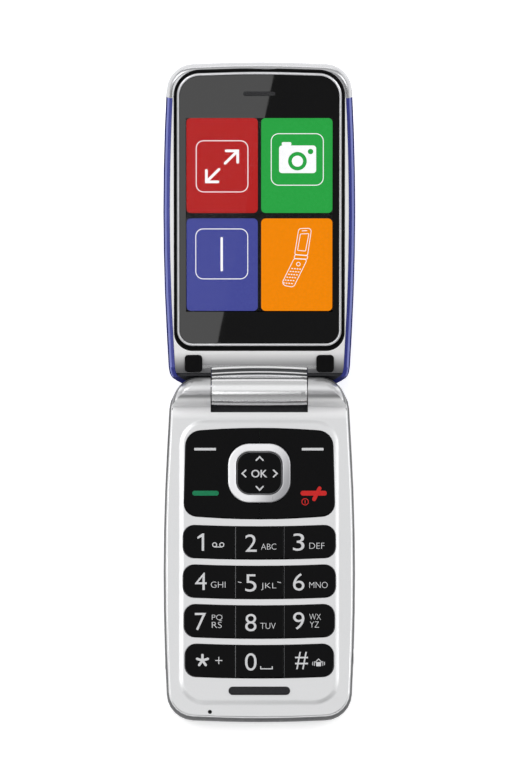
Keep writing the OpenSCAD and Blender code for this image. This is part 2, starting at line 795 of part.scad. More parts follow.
module lid_rear_cover() {
    color([0.13, 0.16, 0.5]) in_lid() difference() {
        intersection() {
            lid_form();
            block([-half_w - 1, -1, outer_n - 1], [half_w + 1, cap_seam - eps, rim_top_n]);
        }
        difference() {
            lid_cavity(cap_seam + 1);
            for (side = [-1, 1])
                translate([side * bumper_x, bumper_s, outer_n]) cylinder(h = frame_back_n - outer_n, r = 2.4);
        }
        rod_x([-half_w - 1, half_w + 1], sweep_r);
        slab(frame_back_n, inner_n + 1) polygon(rounded(lid_corners, frame_inset - 0.05));
        block([-barrel_len / 2 - 0.1, -1, outer_n + 4.2], [barrel_len / 2 + 0.1, sweep_r + 2, inner_n + 1]);
        for (side = [-1, 1]) translate([side * bumper_x, bumper_s, outer_n + 2]) cylinder(h = 10, r = 0.6);
        translate([0, camera_s, outer_n - 1]) cylinder(h = lid_wall + 2, r = lens_r + eps);
        block([-led_w / 2 - eps, led_s[0] - eps, outer_n - 1],
            [led_w / 2 + eps, led_s[1] + eps, outer_n + lid_wall + 1]);
    }
}

module lid_top_cap() {
    color("silver") in_lid() difference() {
        intersection() {
            lid_form();
            block([-half_w - 1, cap_seam + 0.1, outer_n - 1], [half_w + 1, lid_reach + 2, cap_front_n]);
        }
        lid_cavity(lid_reach - 4);
    }
}

// The frame falls away gently towards the hinge.
module frame_fall() {
    fall_start = frame_start + 7;
    fall_r = 48;
    along_x(case_w) difference() {
        translate([frame_start - 3, 0]) square([fall_start - frame_start + 3, 4]);
        translate([fall_start, inner_n - fall_r + 0.02]) circle(fall_r, $fn = 360);
    }
}

// Barrel and the two ribs that join it to the frame.
module neck_profile() {
    circle(barrel_r);
    polygon([[8.6, -2.3], [8.6, 0.85], [7.5, 0.95], [7.35, 1], [7.1, 0.95], [6.75, 0.4], [6.3, 0.25],
        [5.75, 0.3], [5.5, 0.2], [5.2, -0.2], [4.7, -0.4], [4.1, -0.5], [3, -0.8], [2.5, -2.3]]);
}

module lid_front_bezel() {
    color("silver") in_lid() difference() {
        union() {
            difference() {
                slab(frame_back_n, inner_n) intersection() {
                    polygon(rounded(lid_corners, frame_inset, 10));
                    translate([-half_w, frame_start]) square([case_w, cap_seam - frame_start]);
                }
                block([-barrel_len / 2 - 0.2, 0, frame_back_n - 1], [barrel_len / 2 + 0.2, 7.3, inner_n + 1]);
            }
            intersection() {
                lid_form();
                block([-half_w - 1, cap_seam - eps, cap_front_n + 0.05], [half_w + 1, lid_reach + 2, inner_n + 1]);
            }
            along_x(barrel_len) neck_profile();
        }
        block([-half_w, cap_seam - 1, inner_n - 6], [half_w, cap_seam + 2, frame_back_n]);
        slab(ledge_n, inner_n + 1) polygon(rounded(groove_corners));
        frame_fall();
        block([-display_w / 2 - 0.7, display_start - 0.7, frame_back_n - 1],
            [display_w / 2 + 0.7, display_start + display_l + 0.7, inner_n]);
        translate([0, slot_s, 0]) block([-slot_w / 2, -slot_h / 2, frame_back_n - 2], [slot_w / 2, slot_h / 2, inner_n]);
        block([-6.2, slot_s - earpiece_half_h - 0.4, cap_front_n - 1],
            [6.2, slot_s + earpiece_half_h + 0.4, frame_back_n]);
        for (side = [-1, 1]) translate([side * bumper_x, bumper_s, 0]) {
            slab(bumper_floor_n, inner_n + 1)
                polygon(rounded(box_corners(bumper_w / 2 + eps, -bumper_w / 2 - eps, bumper_w / 2 + eps, 1.05)));
            translate([0, 0, bumper_floor_n - 0.6]) cylinder(h = 2, r = 1.4);
            translate([0, 0, frame_back_n - 1]) cylinder(h = 3, r = 0.7);
        }
        rod_x([can_x[0] - 1, can_x[1]], can_r);
        rod_x([can_x[1], barrel_len / 2 + 1], bush_r + run_gap);
        block([0.6, 0.3, -2.2], [6, 9, -1.0]);
    }
}

module display_window() {
    color([0.1, 0.1, 0.11]) in_lid() difference() {
        slab(ledge_n + eps, inner_n - 0.1) polygon(rounded(window_corners, 0, 8));
        slab(ledge_n - 1, inner_n + 1)
            polygon(rounded(box_corners(slot_w / 2, slot_s - slot_h / 2, slot_s + slot_h / 2, slot_h / 2 - 0.02)));
    }
}

module window_ring() {
    color("white") in_lid() difference() {
        slab(ledge_n, inner_n) polygon(rounded(window_corners, -ring_w, 8));
        slab(ledge_n - 1, inner_n + 1) polygon(rounded(window_corners, -eps, 8));
    }
}

panel_back_n = frame_back_n - 2.2;
panel_s = [display_start - 3.4, display_start + display_l + 2.6];
panel_half_w = display_w / 2 + 2;

module display_panel() {
    color([0.2, 0.3, 0.6]) in_lid() {
        block([-panel_half_w, panel_s[0], panel_back_n], [panel_half_w, panel_s[1], frame_back_n - eps]);
        block([-display_w / 2, display_start, frame_back_n - 1], [display_w / 2, display_start + display_l, ledge_n - 0.1]);
    }
}

module display_frame() {
    color("lightgray") in_lid() difference() {
        block([-panel_half_w - 0.6, panel_s[0] - 0.6, panel_back_n - 0.5],
            [panel_half_w + 0.6, panel_s[1] + 0.6, frame_back_n - eps]);
        block([-panel_half_w - eps, panel_s[0] - eps, panel_back_n], [panel_half_w + eps, panel_s[1] + eps, inner_n]);
        block([-panel_half_w + 5, panel_s[0] + 8, panel_back_n - 2], [panel_half_w - 5, panel_s[1] - 8, inner_n]);
    }
}

module earpiece() {
    color("dimgray") in_lid() slab(cap_front_n - 0.6, frame_back_n)
        polygon(rounded(box_corners(5.8, slot_s - earpiece_half_h, slot_s + earpiece_half_h, 2)));
}

module earpiece_mesh() {
    color("gray") in_lid() difference() {
        slab(ledge_n + eps, inner_n - 0.35)
            polygon(rounded(box_corners(slot_w / 2 - eps, slot_s - slot_h / 2 + eps, slot_s + slot_h / 2 - eps, 0.5)));
        for (i = [-8:8]) translate([0.5 * i, slot_s, inner_n - 0.6]) block([-0.12, -0.35, 0], [0.12, 0.35, 1]);
    }
}

module rubber_bumpers() {
    color([0.12, 0.12, 0.12]) in_lid() for (side = [-1, 1]) translate([side * bumper_x, bumper_s, 0])
        slab(bumper_floor_n, inner_n + bumper_out)
            polygon(rounded(box_corners(bumper_w / 2, -bumper_w / 2, bumper_w / 2, 1)));
}

board_n = [outer_n + 1.7, outer_n + 2.5];

module lid_board() {
    color("darkgreen") in_lid() difference() {
        block([7.25 - half_w, sweep_r + 7, board_n[0]], [half_w - 7.25, lid_reach - 13.6, board_n[1]]);
        translate([0, camera_s, -10]) cylinder(h = 20, r = 4.4);
    }
}

module camera_module() {
    color([0.2, 0.2, 0.22]) in_lid() translate([0, camera_s, 0]) {
        translate([0, 0, outer_n + lid_wall]) cylinder(h = 1.9, r = 4);
    }
}

module camera_lens() {
    color([0.05, 0.05, 0.07]) in_lid() translate([0, camera_s, outer_n]) difference() {
        cylinder(h = lid_wall, r = lens_r);
        translate([0, 0, -1]) cylinder(h = 1.3, r = 2);
    }
}

module led_bar() {
    color("white") in_lid() block([-led_w / 2, led_s[0], outer_n + 0.05], [led_w / 2, led_s[1], board_n[0]]);
}

module lid_screws() {
    color("gray") in_lid() for (side = [-1, 1]) translate([side * bumper_x, bumper_s, 0]) {
        translate([0, 0, bumper_floor_n - 0.6]) cylinder(h = 0.55, r = 1.3);
        translate([0, 0, outer_n + 2.4]) cylinder(h = bumper_floor_n - 0.6 - outer_n - 2.4 + eps, r = 0.6);
    }
}

base_front_cover();
base_rear_housing();
battery_cover();
battery();
battery_contacts();
sim_holder();
main_board();
key_domes();
keypad_mat();
number_key(0, 0);  // key_1
number_key(0, 1);  // key_2
number_key(0, 2);  // key_3
number_key(1, 0);  // key_4
number_key(1, 1);  // key_5
number_key(1, 2);  // key_6
number_key(2, 0);  // key_7
number_key(2, 1);  // key_8
number_key(2, 2);  // key_9
number_key(3, 0);  // key_star
number_key(3, 1);  // key_0
number_key(3, 2);  // key_hash
key_plate(-1);  // left_key_plate
key_plate(1);  // right_key_plate
nav_ring();
nav_pad();
nav_carrier();
nav_plunger();
chin_pad();
loudspeaker();
microphone();
vibration_motor();
usb_port();
headset_jack();
case_screws();
hinge_shaft();
hinge_cam();
hinge_bush();
base_flex_cable();
lid_front_bezel();
lid_rear_cover();
lid_top_cap();
display_window();
window_ring();
display_panel();
display_frame();
earpiece();
earpiece_mesh();
rubber_bumpers();
lid_board();
camera_module();
camera_lens();
led_bar();
lid_screws();
hinge_module();
hinge_spring();
lid_flex_cable();
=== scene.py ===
"""Flip phone, open, lying on its back. Metres, in the frame of the CAD model."""
import math

import bmesh
import bpy
from mathutils import Matrix, Vector


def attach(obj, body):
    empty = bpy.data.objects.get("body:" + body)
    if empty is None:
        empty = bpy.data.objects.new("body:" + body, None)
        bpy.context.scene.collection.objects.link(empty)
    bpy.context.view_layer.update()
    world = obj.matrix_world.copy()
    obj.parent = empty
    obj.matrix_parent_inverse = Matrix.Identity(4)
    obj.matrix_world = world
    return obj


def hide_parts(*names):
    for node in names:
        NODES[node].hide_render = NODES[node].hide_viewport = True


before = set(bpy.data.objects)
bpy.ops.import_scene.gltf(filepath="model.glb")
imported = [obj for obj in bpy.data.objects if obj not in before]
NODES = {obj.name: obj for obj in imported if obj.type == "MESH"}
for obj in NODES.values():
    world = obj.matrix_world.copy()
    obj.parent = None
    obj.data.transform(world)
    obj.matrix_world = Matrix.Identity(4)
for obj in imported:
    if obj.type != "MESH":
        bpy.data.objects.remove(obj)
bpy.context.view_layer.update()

MM = 0.001
# Hinge axis in millimetres, and the degrees by which the open lid rises
HINGE_Y = 48.8
HINGE_Z = 11.4
LID_TILT = 20
# Middle of the four-way pad, along from the hinge axis
RING_MID = -24.27
# Local millimetres of each half: Y away from the hinge axis, Z out of the face
BASE = Matrix.Translation((0, HINGE_Y * MM, 0)) @ Matrix.Scale(MM, 4)
LID = (Matrix.Translation((0, HINGE_Y * MM, HINGE_Z * MM))
       @ Matrix.Rotation(math.radians(LID_TILT), 4, "X") @ Matrix.Scale(MM, 4))

# ---------------- node groups


def group(name, inputs, outputs):
    """Empty node group with typed sockets."""
    tree = bpy.data.node_groups.new(name, "ShaderNodeTree")
    for label, kind, value in inputs:
        socket = tree.interface.new_socket(label, in_out="INPUT", socket_type=kind)
        if value is not None:
            socket.default_value = value
    for label, kind in outputs:
        tree.interface.new_socket(label, in_out="OUTPUT", socket_type=kind)
    return tree, tree.nodes.new("NodeGroupInput"), tree.nodes.new("NodeGroupOutput")


def node(tree, kind, links=(), **values):
    """Adds a node; values set its properties or inputs, links join sockets into it."""
    made = tree.nodes.new("ShaderNode" + kind)
    for key, value in values.items():
        if hasattr(made, key):
            setattr(made, key, value)
        else:
            made.inputs[key.replace("_", " ")].default_value = value
    for socket, key in links:
        tree.links.new(socket, made.inputs[key])
    return made


def remap(tree, value, source=(0.0, 1.0), target=(0.0, 1.0), smooth=False):
    """Carries a value from one range to another."""
    made = node(tree, "MapRange", [(value, "Value")], interpolation_type="SMOOTHSTEP" if smooth else "LINEAR")
    made.inputs["From Min"].default_value, made.inputs["From Max"].default_value = source
    made.inputs["To Min"].default_value, made.inputs["To Max"].default_value = target
    return made.outputs["Result"]


def maths(tree, operation, *values):
    """Calculates with values that are sockets or plain numbers."""
    made = node(tree, "Math", operation=operation)
    for place, value in enumerate(values):
        if isinstance(value, float):
            made.inputs[place].default_value = value
        else:
            tree.links.new(value, made.inputs[place])
    return made.outputs["Value"]


def blend(tree, mask, low, high):
    """Mixes two colours, each a socket or a plain colour, by a mask."""
    made = node(tree, "Mix", [(mask, 0)], data_type="RGBA")
    for place, colour in ((6, low), (7, high)):
        if isinstance(colour, tuple):
            made.inputs[place].default_value = colour
        else:
            tree.links.new(colour, made.inputs[place])
    return made.outputs[2]


def ramp(tree, value, stops):
    """Colour ramp over a value from 0 to 1: (place, grey) stops."""
    made = node(tree, "ValToRGB", [(value, "Fac")])
    marks = made.color_ramp.elements
    while len(marks) < len(stops):
        marks.new(0.5)
    for mark, (place, grey) in zip(marks, stops):
        mark.position = place
        mark.color = (grey, grey, grey, 1)
    return made.outputs["Color"]


FLOAT = "NodeSocketFloat"
VECTOR = "NodeSocketVector"


def grain_group():
    """Fine grain: a contrast mask and a bumped normal."""
    tree, start, end = group(
        "grain",
        [("Vector", VECTOR, None), ("Scale", FLOAT, 3000.0), ("Height", FLOAT, 0.00001), ("Low", FLOAT, 0.35),
         ("High", FLOAT, 0.65)],
        [("Mask", FLOAT), ("Normal", VECTOR)])
    noise = node(tree, "TexNoise", [(start.outputs["Vector"], "Vector"), (start.outputs["Scale"], "Scale")],
                 Detail=3.0, Roughness=0.6)
    mask = node(tree, "MapRange", [(noise.outputs["Fac"], "Value"), (start.outputs["Low"], "From Min"),
                                   (start.outputs["High"], "From Max")])
    bump = node(tree, "Bump", [(mask.outputs["Result"], "Height"), (start.outputs["Height"], "Distance")])
    tree.links.new(mask.outputs["Result"], end.inputs["Mask"])
    tree.links.new(bump.outputs["Normal"], end.inputs["Normal"])
    return tree


def cloud_group():
    """Broad handling marks: soft patches broken by faint streaks."""
    tree, start, end = group("cloud", [("Vector", VECTOR, None), ("Scale", FLOAT, 60.0)], [("Mask", FLOAT)])
    patch = node(tree, "TexNoise", [(start.outputs["Vector"], "Vector"), (start.outputs["Scale"], "Scale")],
                 Detail=4.0, Roughness=0.55)
    stretch = node(tree, "Mapping", [(start.outputs["Vector"], "Vector")], Scale=(1.0, 0.12, 1.0))
    streak = node(tree, "TexNoise", [(stretch.outputs["Vector"], "Vector")], Scale=900.0, Detail=2.0)
    marks = maths(tree, "MULTIPLY", patch.outputs["Fac"], streak.outputs["Fac"])
    tree.links.new(remap(tree, marks, source=(0.16, 0.36)), end.inputs["Mask"])
    return tree


GRAIN = grain_group()
CLOUD = cloud_group()

# ---------------- finishes

# Half width, start and end of the lit area, from the hinge axis
DISPLAY = (21.6, 23.9, 81.5)
# Centre of the lid's lower corners (x, along) and the inner radius of the blue rim there
RIM_CENTRE = (19.77, 7.2, 5.05)
# Span along the lid over which its frame, falling away to the hinge, is painted darker as shade
FRAME_SHADE_SPAN = (5.6, 12.4)
# Direction across the pad's ring in which its painted highlight falls off to painted shade, and the span of
# the fall
PAINTED_SHEEN_TURN = (0.9, -0.43, 0)
PAINTED_SHEEN_SPAN = (-1, 10)
# Fold before the hinge shoulders, satin and painted lighter as light, and their crown, painted darker as
# shade:
# (distance before the hinge axis, strength)
FOLD_FROM = 8.0
FOLD_PAINTED_LIGHT = [(8.0, 0.0), (6.4, 0.8), (5.0, 1.0), (3.2, 1.0), (2.4, 0.0)]
CROWN_PAINTED_SHADE = [(2.9, 0.0), (2.2, 1.0), (0.9, 1.0), (0.1, 0.0)]


def rgb(r, g, b):
    """Linear colour from eight-bit sRGB."""
    def line(c):
        c /= 255
        return c / 12.92 if c <= 0.04045 else ((c + 0.055) / 1.055) ** 2.4
    return (line(r), line(g), line(b), 1.0)


def object_coords(tree):
    """Coordinates of the piece, in metres."""
    return node(tree, "TexCoord").outputs["Object"]


def coords_from(tree, spot):
    """Coordinates of the piece counted from a spot, which is given in millimetres."""
    moved = node(tree, "VectorMath", [(object_coords(tree), 0)], operation="SUBTRACT")
    moved.inputs[1].default_value = [value * MM for value in spot]
    return moved.outputs["Vector"]


def lid_axes(tree):
    """Coordinates along the lid: metres from the hinge axis."""
    turn = node(tree, "VectorRotate", [(coords_from(tree, (0, HINGE_Y, HINGE_Z)), "Vector")],
                rotation_type="X_AXIS")
    turn.inputs["Angle"].default_value = -math.radians(LID_TILT)
    return node(tree, "SeparateXYZ", [(turn.outputs["Vector"], "Vector")])


def colour_of(mat):
    """Base colour input of a finish."""
    return mat.node_tree.nodes["Principled BSDF"].inputs["Base Color"]


def finish(name, low, high, rough, scale=5200, height=0.0, metallic=0.0, coat=0.0, coat_rough=0.05,
           specular=0.5, glow=0.0):
    """Surface finish: grain between two eight-bit colours, roughness between two values, relief in mm."""
    mat = bpy.data.materials.new(name)
    mat.use_nodes = True
    tree = mat.node_tree
    shader = tree.nodes["Principled BSDF"]
    coords = object_coords(tree)
    grain = node(tree, "Group", [(coords, "Vector")], node_tree=GRAIN, Scale=scale, Height=height * MM)
    marks = node(tree, "Group", [(coords, "Vector")], node_tree=CLOUD)
    colour = blend(tree, grain.outputs["Mask"], rgb(*low), rgb(*high))
    tree.links.new(colour, shader.inputs["Base Color"])
    tree.links.new(remap(tree, marks.outputs["Mask"], target=rough), shader.inputs["Roughness"])
    if height:
        tree.links.new(grain.outputs["Normal"], shader.inputs["Normal"])
    shader.inputs["Metallic"].default_value = metallic
    shader.inputs["Coat Weight"].default_value = coat
    shader.inputs["Coat Roughness"].default_value = coat_rough
    shader.inputs["Specular IOR Level"].default_value = specular
    if glow:
        tree.links.new(colour, shader.inputs["Emission Color"])
        shader.inputs["Emission Strength"].default_value = glow
    return mat


def board_finish():
    """Circuit board: lacquer over a mesh of copper traces with soldered pads."""
    mat = finish("board_lacquer", (10, 70, 38), (14, 88, 48), (0.25, 0.4), scale=900, height=0.01)
    tree, colour = mat.node_tree, colour_of(mat)
    cells = node(tree, "TexVoronoi", [(object_coords(tree), "Vector")], Scale=420.0, feature="F1",
                 distance="MANHATTAN")
    solder = maths(tree, "LESS_THAN", cells.outputs["Distance"], 0.22)
    tree.links.new(blend(tree, solder, colour.links[0].from_socket, rgb(190, 160, 90)), colour)
    return mat


def window_finish():
    """Glossy pane: black print behind the border, clear over the display."""
    mat = finish("window_pane", (3, 3, 4), (5, 5, 6), (0.004, 0.012), scale=500)
    tree = mat.node_tree
    half, start, end = DISPLAY
    axes = lid_axes(tree)
    narrow = maths(tree, "LESS_THAN", maths(tree, "ABSOLUTE", axes.outputs["X"]), half * MM)
    along = maths(tree, "SUBTRACT", axes.outputs["Y"], (start + end) / 2 * MM)
    short = maths(tree, "LESS_THAN", maths(tree, "ABSOLUTE", along), (end - start) / 2 * MM)
    clear = maths(tree, "MULTIPLY", narrow, short)
    glass = node(tree, "BsdfGlossy", Roughness=0.02)
    through = node(tree, "BsdfTransparent")
    fresnel = node(tree, "Fresnel", IOR=1.1)
    pane = node(tree, "MixShader",
                [(fresnel.outputs["Fac"], 0), (through.outputs[0], 1), (glass.outputs[0], 2)])
    whole = node(tree, "MixShader",
                 [(clear, 0), (tree.nodes["Principled BSDF"].outputs[0], 1), (pane.outputs[0], 2)])
    tree.links.new(whole.outputs[0], tree.nodes["Material Output"].inputs["Surface"])
    return mat


def ring_painted_sheen_finish():
    """Metal of the pad's ring, with a painted highlight that falls off to painted shade across the ring."""
    mat = finish("ring_painted_sheen", (242, 242, 244), (158, 158, 161), (0.27, 0.3), scale=2600, metallic=0.5)
    tree = mat.node_tree
    turn = node(tree, "VectorMath", [(coords_from(tree, (0, HINGE_Y + RING_MID, 0)), 0)],
                operation="DOT_PRODUCT")
    turn.inputs[1].default_value = PAINTED_SHEEN_TURN
    sheen = remap(tree, turn.outputs["Value"], [end * MM for end in PAINTED_SHEEN_SPAN], smooth=True)
    tree.links.new(sheen, colour_of(mat).links[0].from_node.inputs[0])
    return mat


def cover_silver_painted_light():
    """Silver of the base: satin and painted lighter as light in the fold before the hinge shoulders, painted
    darker as shade under their crowns.
    """
    sheen, satin = 0.75, 0.2
    mat = finish("silver_painted_light_and_shade", (219, 220, 221), (225, 225, 226), (0.29, 0.31), metallic=sheen)
    tree, colour = mat.node_tree, colour_of(mat)
    place = node(tree, "SeparateXYZ", [(object_coords(tree), "Vector")])
    along = remap(tree, place.outputs["Y"], ((HINGE_Y - FOLD_FROM) * MM, HINGE_Y * MM))
    fold, crown = (ramp(tree, along, [(1 - before / FOLD_FROM, strength) for before, strength in stops])
                   for stops in (FOLD_PAINTED_LIGHT, CROWN_PAINTED_SHADE))
    for key, plain, folded in (("Metallic", sheen, satin), ("Roughness", 0.3, 0.5)):
        tree.links.new(remap(tree, fold, target=(plain, folded)), tree.nodes["Principled BSDF"].inputs[key])
    # The fold is painted lighter, as light, and the crown darker, as shade
    light = colour.links[0].from_socket
    for mask, tone in ((fold, rgb(252, 252, 253)), (crown, rgb(184, 184, 186))):
        light = blend(tree, mask, light, tone)
    tree.links.new(light, colour)
    return mat


def lid_silver_painted_shade():
    """Silver of the lid's frame, painted darker as shade where it falls away to the hinge."""
    mat = finish("lid_frame_painted_shade", (248, 248, 249), (253, 253, 253), (0.3, 0.34), metallic=0.3)
    tree, colour = mat.node_tree, colour_of(mat)
    fall = remap(tree, lid_axes(tree).outputs["Y"], [end * MM for end in FRAME_SHADE_SPAN], smooth=True)
    tree.links.new(blend(tree, fall, rgb(116, 116, 118), colour.links[0].from_socket), colour)
    return mat


def hollow_finish():
    """Dark grey over the hinge shoulders, inside the blue rim of the lid's rounded corners."""
    mat = finish("lid_hollow", (58, 59, 62), (72, 73, 76), (0.35, 0.45), scale=2400, height=0.004,
                 metallic=0.3, specular=0.3)
    tree, colour = mat.node_tree, colour_of(mat)
    x, along, radius = (value * MM for value in RIM_CENTRE)
    axes = lid_axes(tree)
    out = maths(tree, "SUBTRACT", maths(tree, "ABSOLUTE", axes.outputs["X"]), x)
    down = maths(tree, "SUBTRACT", along, axes.outputs["Y"])
    corner = node(tree, "CombineXYZ", [(out, "X"), (down, "Y")])
    clamped = node(tree, "VectorMath", [(corner.outputs["Vector"], 0)], operation="MAXIMUM")
    reach = node(tree, "VectorMath", [(clamped.outputs["Vector"], 0)], operation="LENGTH")
    rim = maths(tree, "GREATER_THAN", reach.outputs["Value"], radius)
    tree.links.new(blend(tree, rim, colour.links[0].from_socket, rgb(*BLUE_TONES[0])), colour)
    return mat


def lit(name, low, high):
    """Backlit print: the colour glows and the surface under it is dark."""
    mat = finish(name, low, high, (0.4, 0.5), scale=1200, glow=1.0, specular=0.05)
    tree, colour = mat.node_tree, colour_of(mat)
    dim = node(tree, "VectorMath", [(colour.links[0].from_socket, 0)], operation="SCALE", Scale=0.06)
    tree.links.new(dim.outputs["Vector"], colour)
    return mat


# Silver of the base, with painted light in the fold before the hinge shoulders and painted shade under their
# crowns
SILVER = cover_silver_painted_light()
# Silver painted a little darker, as shade, on the keypad's slope that faces the chin
SLOPE_PAINTED_SHADE = finish("slope_painted_shade", (212, 213, 214), (218, 218, 219), (0.34, 0.38), metallic=0.75)
# Silver of the lid's frame, painted darker as shade near the hinge
LID_SILVER = lid_silver_painted_shade()
BRIGHT_SILVER = finish("hinge_silver", (238, 239, 240), (244, 244, 245), (0.2, 0.22), metallic=0.85)
CAP_SILVER = finish("cap_silver", (186, 187, 189), (194, 194, 196), (0.2, 0.22), metallic=0.75)
# Near white painted as highlight on the hinge ribs' crests, the barrel's ridge and the frame's lower edge
RIB_PAINTED_HIGHLIGHT = finish("rib_painted_highlight", (244, 244, 245), (250, 250, 251), (0.3, 0.32), metallic=0.1)
# Grey painted as shade in the hinge ribs' valleys
RIB_PAINTED_SHADE = finish("rib_painted_shade", (74, 75, 77), (82, 83, 85), (0.35, 0.4), metallic=0.4)
BLUE_TONES = ((50, 56, 136), (58, 64, 148))
# Dark blue painted as shade on the blue cover's outer turn
BLUE_SHADE = finish("blue_painted_shade", (20, 24, 84), (26, 30, 94), (0.6, 0.7), scale=4200, specular=0.0)
# Light blue painted as highlight along the blue cover's rim
BLUE_PAINTED_HIGHLIGHT = finish("blue_painted_highlight", (104, 112, 184), (112, 120, 192), (0.3, 0.4), scale=4200, specular=0.3)
BLUE = finish("blue_lacquer", *BLUE_TONES, (0.18, 0.24), scale=4200, height=0.002, metallic=0.5, coat=0.25,
              coat_rough=0.08)
# Dark grey painted as shade round the cover's side, in the pocket behind the barrel and on the microphone
# hole's wall
COVER_PAINTED_SHADE = finish("cover_painted_shade", (44, 45, 48), (58, 59, 62), (0.4, 0.5), scale=2400, height=0.006,
                    metallic=0.2, specular=0.3)
# Grey painted as shade on the walls of the cover's sides, chin corners and hinge shoulders
EDGE_PAINTED_SHADE = finish("cover_edge_painted_shade", (98, 99, 101), (106, 107, 109), (0.3, 0.4), scale=2400, metallic=0.3,
                   specular=0.3)
LID_HOLLOW = hollow_finish()
# Grey painted as a highlight on the bevels of the keys and of the pad's cap
KEY_PAINTED_GLINT = finish("key_painted_glint", (104, 104, 106), (118, 118, 120), (0.2, 0.3), scale=2200, specular=0.3)
RIM_GREY = finish("housing_silver", (120, 121, 125), (140, 141, 145), (0.35, 0.45), scale=4200, height=0.004,
                  metallic=0.5)
CHROME = finish("bright_ring", (232, 232, 235), (242, 242, 245), (0.1, 0.16), scale=900, metallic=0.5,
                coat=0.5)
# The pad's ring: highlight and shade are painted across its colour
RING_PAINTED_SHEEN = ring_painted_sheen_finish()
KEY = finish("key_black", (4, 4, 5), (7, 7, 8), (0.13, 0.19), scale=2200, specular=0.08)
LEGEND = finish("legend_white", (206, 207, 209), (216, 216, 218), (0.4, 0.5), scale=1500, specular=0.2)
GREEN = finish("legend_green", (8, 116, 74), (14, 128, 84), (0.35, 0.45), scale=1500, specular=0.2)
RED = finish("legend_red", (196, 28, 26), (212, 34, 32), (0.35, 0.45), scale=1500, specular=0.2)
PAD_GREY = finish("chin_grey", (38, 38, 40), (48, 48, 50), (0.5, 0.62), scale=2400, height=0.006,
                  specular=0.1)
RUBBER = finish("rubber", (7, 7, 8), (11, 11, 12), (0.6, 0.75), scale=2600, height=0.01, specular=0.1)
PANE = window_finish()
GLASS_BACK = finish("display_back", (8, 8, 10), (10, 10, 12), (0.3, 0.4), scale=800, specular=0.2)
LENS = finish("lens_glass", (6, 7, 12), (10, 11, 18), (0.03, 0.07), scale=600, coat=1.0, coat_rough=0.02)
GROOVE = finish("groove_black", (5, 5, 6), (8, 8, 9), (0.5, 0.6), scale=900, specular=0.15)
SCREW = finish("screw_steel", (150, 150, 152), (186, 186, 188), (0.25, 0.4), scale=2600, height=0.004,
               metallic=1.0)

SLOT_FINISH = {
    "silver_paint": SILVER, "blue_paint": BLUE, "satin_metal": RING_PAINTED_SHEEN, "bright_trim": CHROME,
    "window_black": PANE, "key_black": KEY, "rubber_black": RUBBER, "dark_plastic": PAD_GREY,
    "lens_black": LENS, "steel": SCREW, "display": GLASS_BACK, "board_green": board_finish(),
}
# Finishes of inner parts: slot, two tones, roughness, scale, relief and metal
for slot, low, high, rough, scale, relief, metal in (
        ("battery_wrap", (58, 60, 66), (70, 72, 78), (0.35, 0.5), 900, 0.01, 0.0),
        ("gold_plate", (190, 146, 62), (224, 184, 98), (0.2, 0.3), 1800, 0.003, 1.0),
        ("dome_metal", (176, 168, 146), (206, 198, 176), (0.22, 0.34), 1800, 0.003, 1.0),
        ("silicone", (150, 152, 156), (164, 166, 170), (0.6, 0.75), 1800, 0.01, 0.0),
        ("rubber_grey", (70, 71, 74), (84, 85, 88), (0.65, 0.8), 1800, 0.01, 0.0),
        ("flex_film", (150, 92, 34), (176, 114, 50), (0.3, 0.42), 900, 0.004, 0.0),
        ("mesh_metal", (58, 58, 60), (82, 82, 84), (0.35, 0.5), 5000, 0.01, 0.8),
        ("led_diffuser", (214, 218, 224), (232, 236, 240), (0.35, 0.45), 1200, 0.0, 0.0)):
    SLOT_FINISH[slot] = finish(slot, low, high, rough, scale, relief, metal)

# ---------------- mesh helpers

# Bends in degrees past which an edge is shaded sharp, and past which a CAD shell is softened
SHARP_ANGLE = 38
BEVEL_ANGLE = 34
# Corners of a CAD shell closer than this, in metres, are one, and a bend under this, in degrees, is flat
WELD = 2e-6
FLAT_ANGLE = 0.5


def slot_of(node_name):
    """Material slot that the record gives a node."""
    return NODES[node_name].data.materials[0].name.split(".")[0]


def link(made):
    """Puts an object into the scene."""
    bpy.context.scene.collection.objects.link(made)


def solid(name, bm, mats):
    """Object of a bmesh, in the scene."""
    mesh = bpy.data.meshes.new(name)
    bm.to_mesh(mesh)
    bm.free()
    for mat in mats:
        mesh.materials.append(mat)
    made = bpy.data.objects.new(name, mesh)
    link(made)
    return made


def sharpen(bm):
    """Smooth faces, with steep edges kept sharp."""
    limit = math.radians(SHARP_ANGLE)
    for face in bm.faces:
        face.smooth = True
    for edge in bm.edges:
        edge.smooth = len(edge.link_faces) == 2 and edge.calc_face_angle(math.pi) < limit


def piece(name, bm, body, mats, place=None, stands_for=()):
    """Turns a bmesh into a piece of the phone that rides on a body."""
    if place is not None:
        bmesh.ops.transform(bm, matrix=place, verts=bm.verts)
    bmesh.ops.recalc_face_normals(bm, faces=bm.faces)
    sharpen(bm)
    made = solid(name, bm, mats if isinstance(mats, list) else [mats])
    shading = made.modifiers.new("even_normals", "WEIGHTED_NORMAL")
    shading.keep_sharp = True
    shading.weight = 60
    if stands_for:
        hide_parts(*stands_for)
    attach(made, body)


def cut(bm, spot, normal, dist=1e-6):
    """Parts every face that a plane crosses."""
    bmesh.ops.bisect_plane(bm, geom=bm.verts[:] + bm.edges[:] + bm.faces[:], dist=dist, plane_co=spot,
                           plane_no=normal)


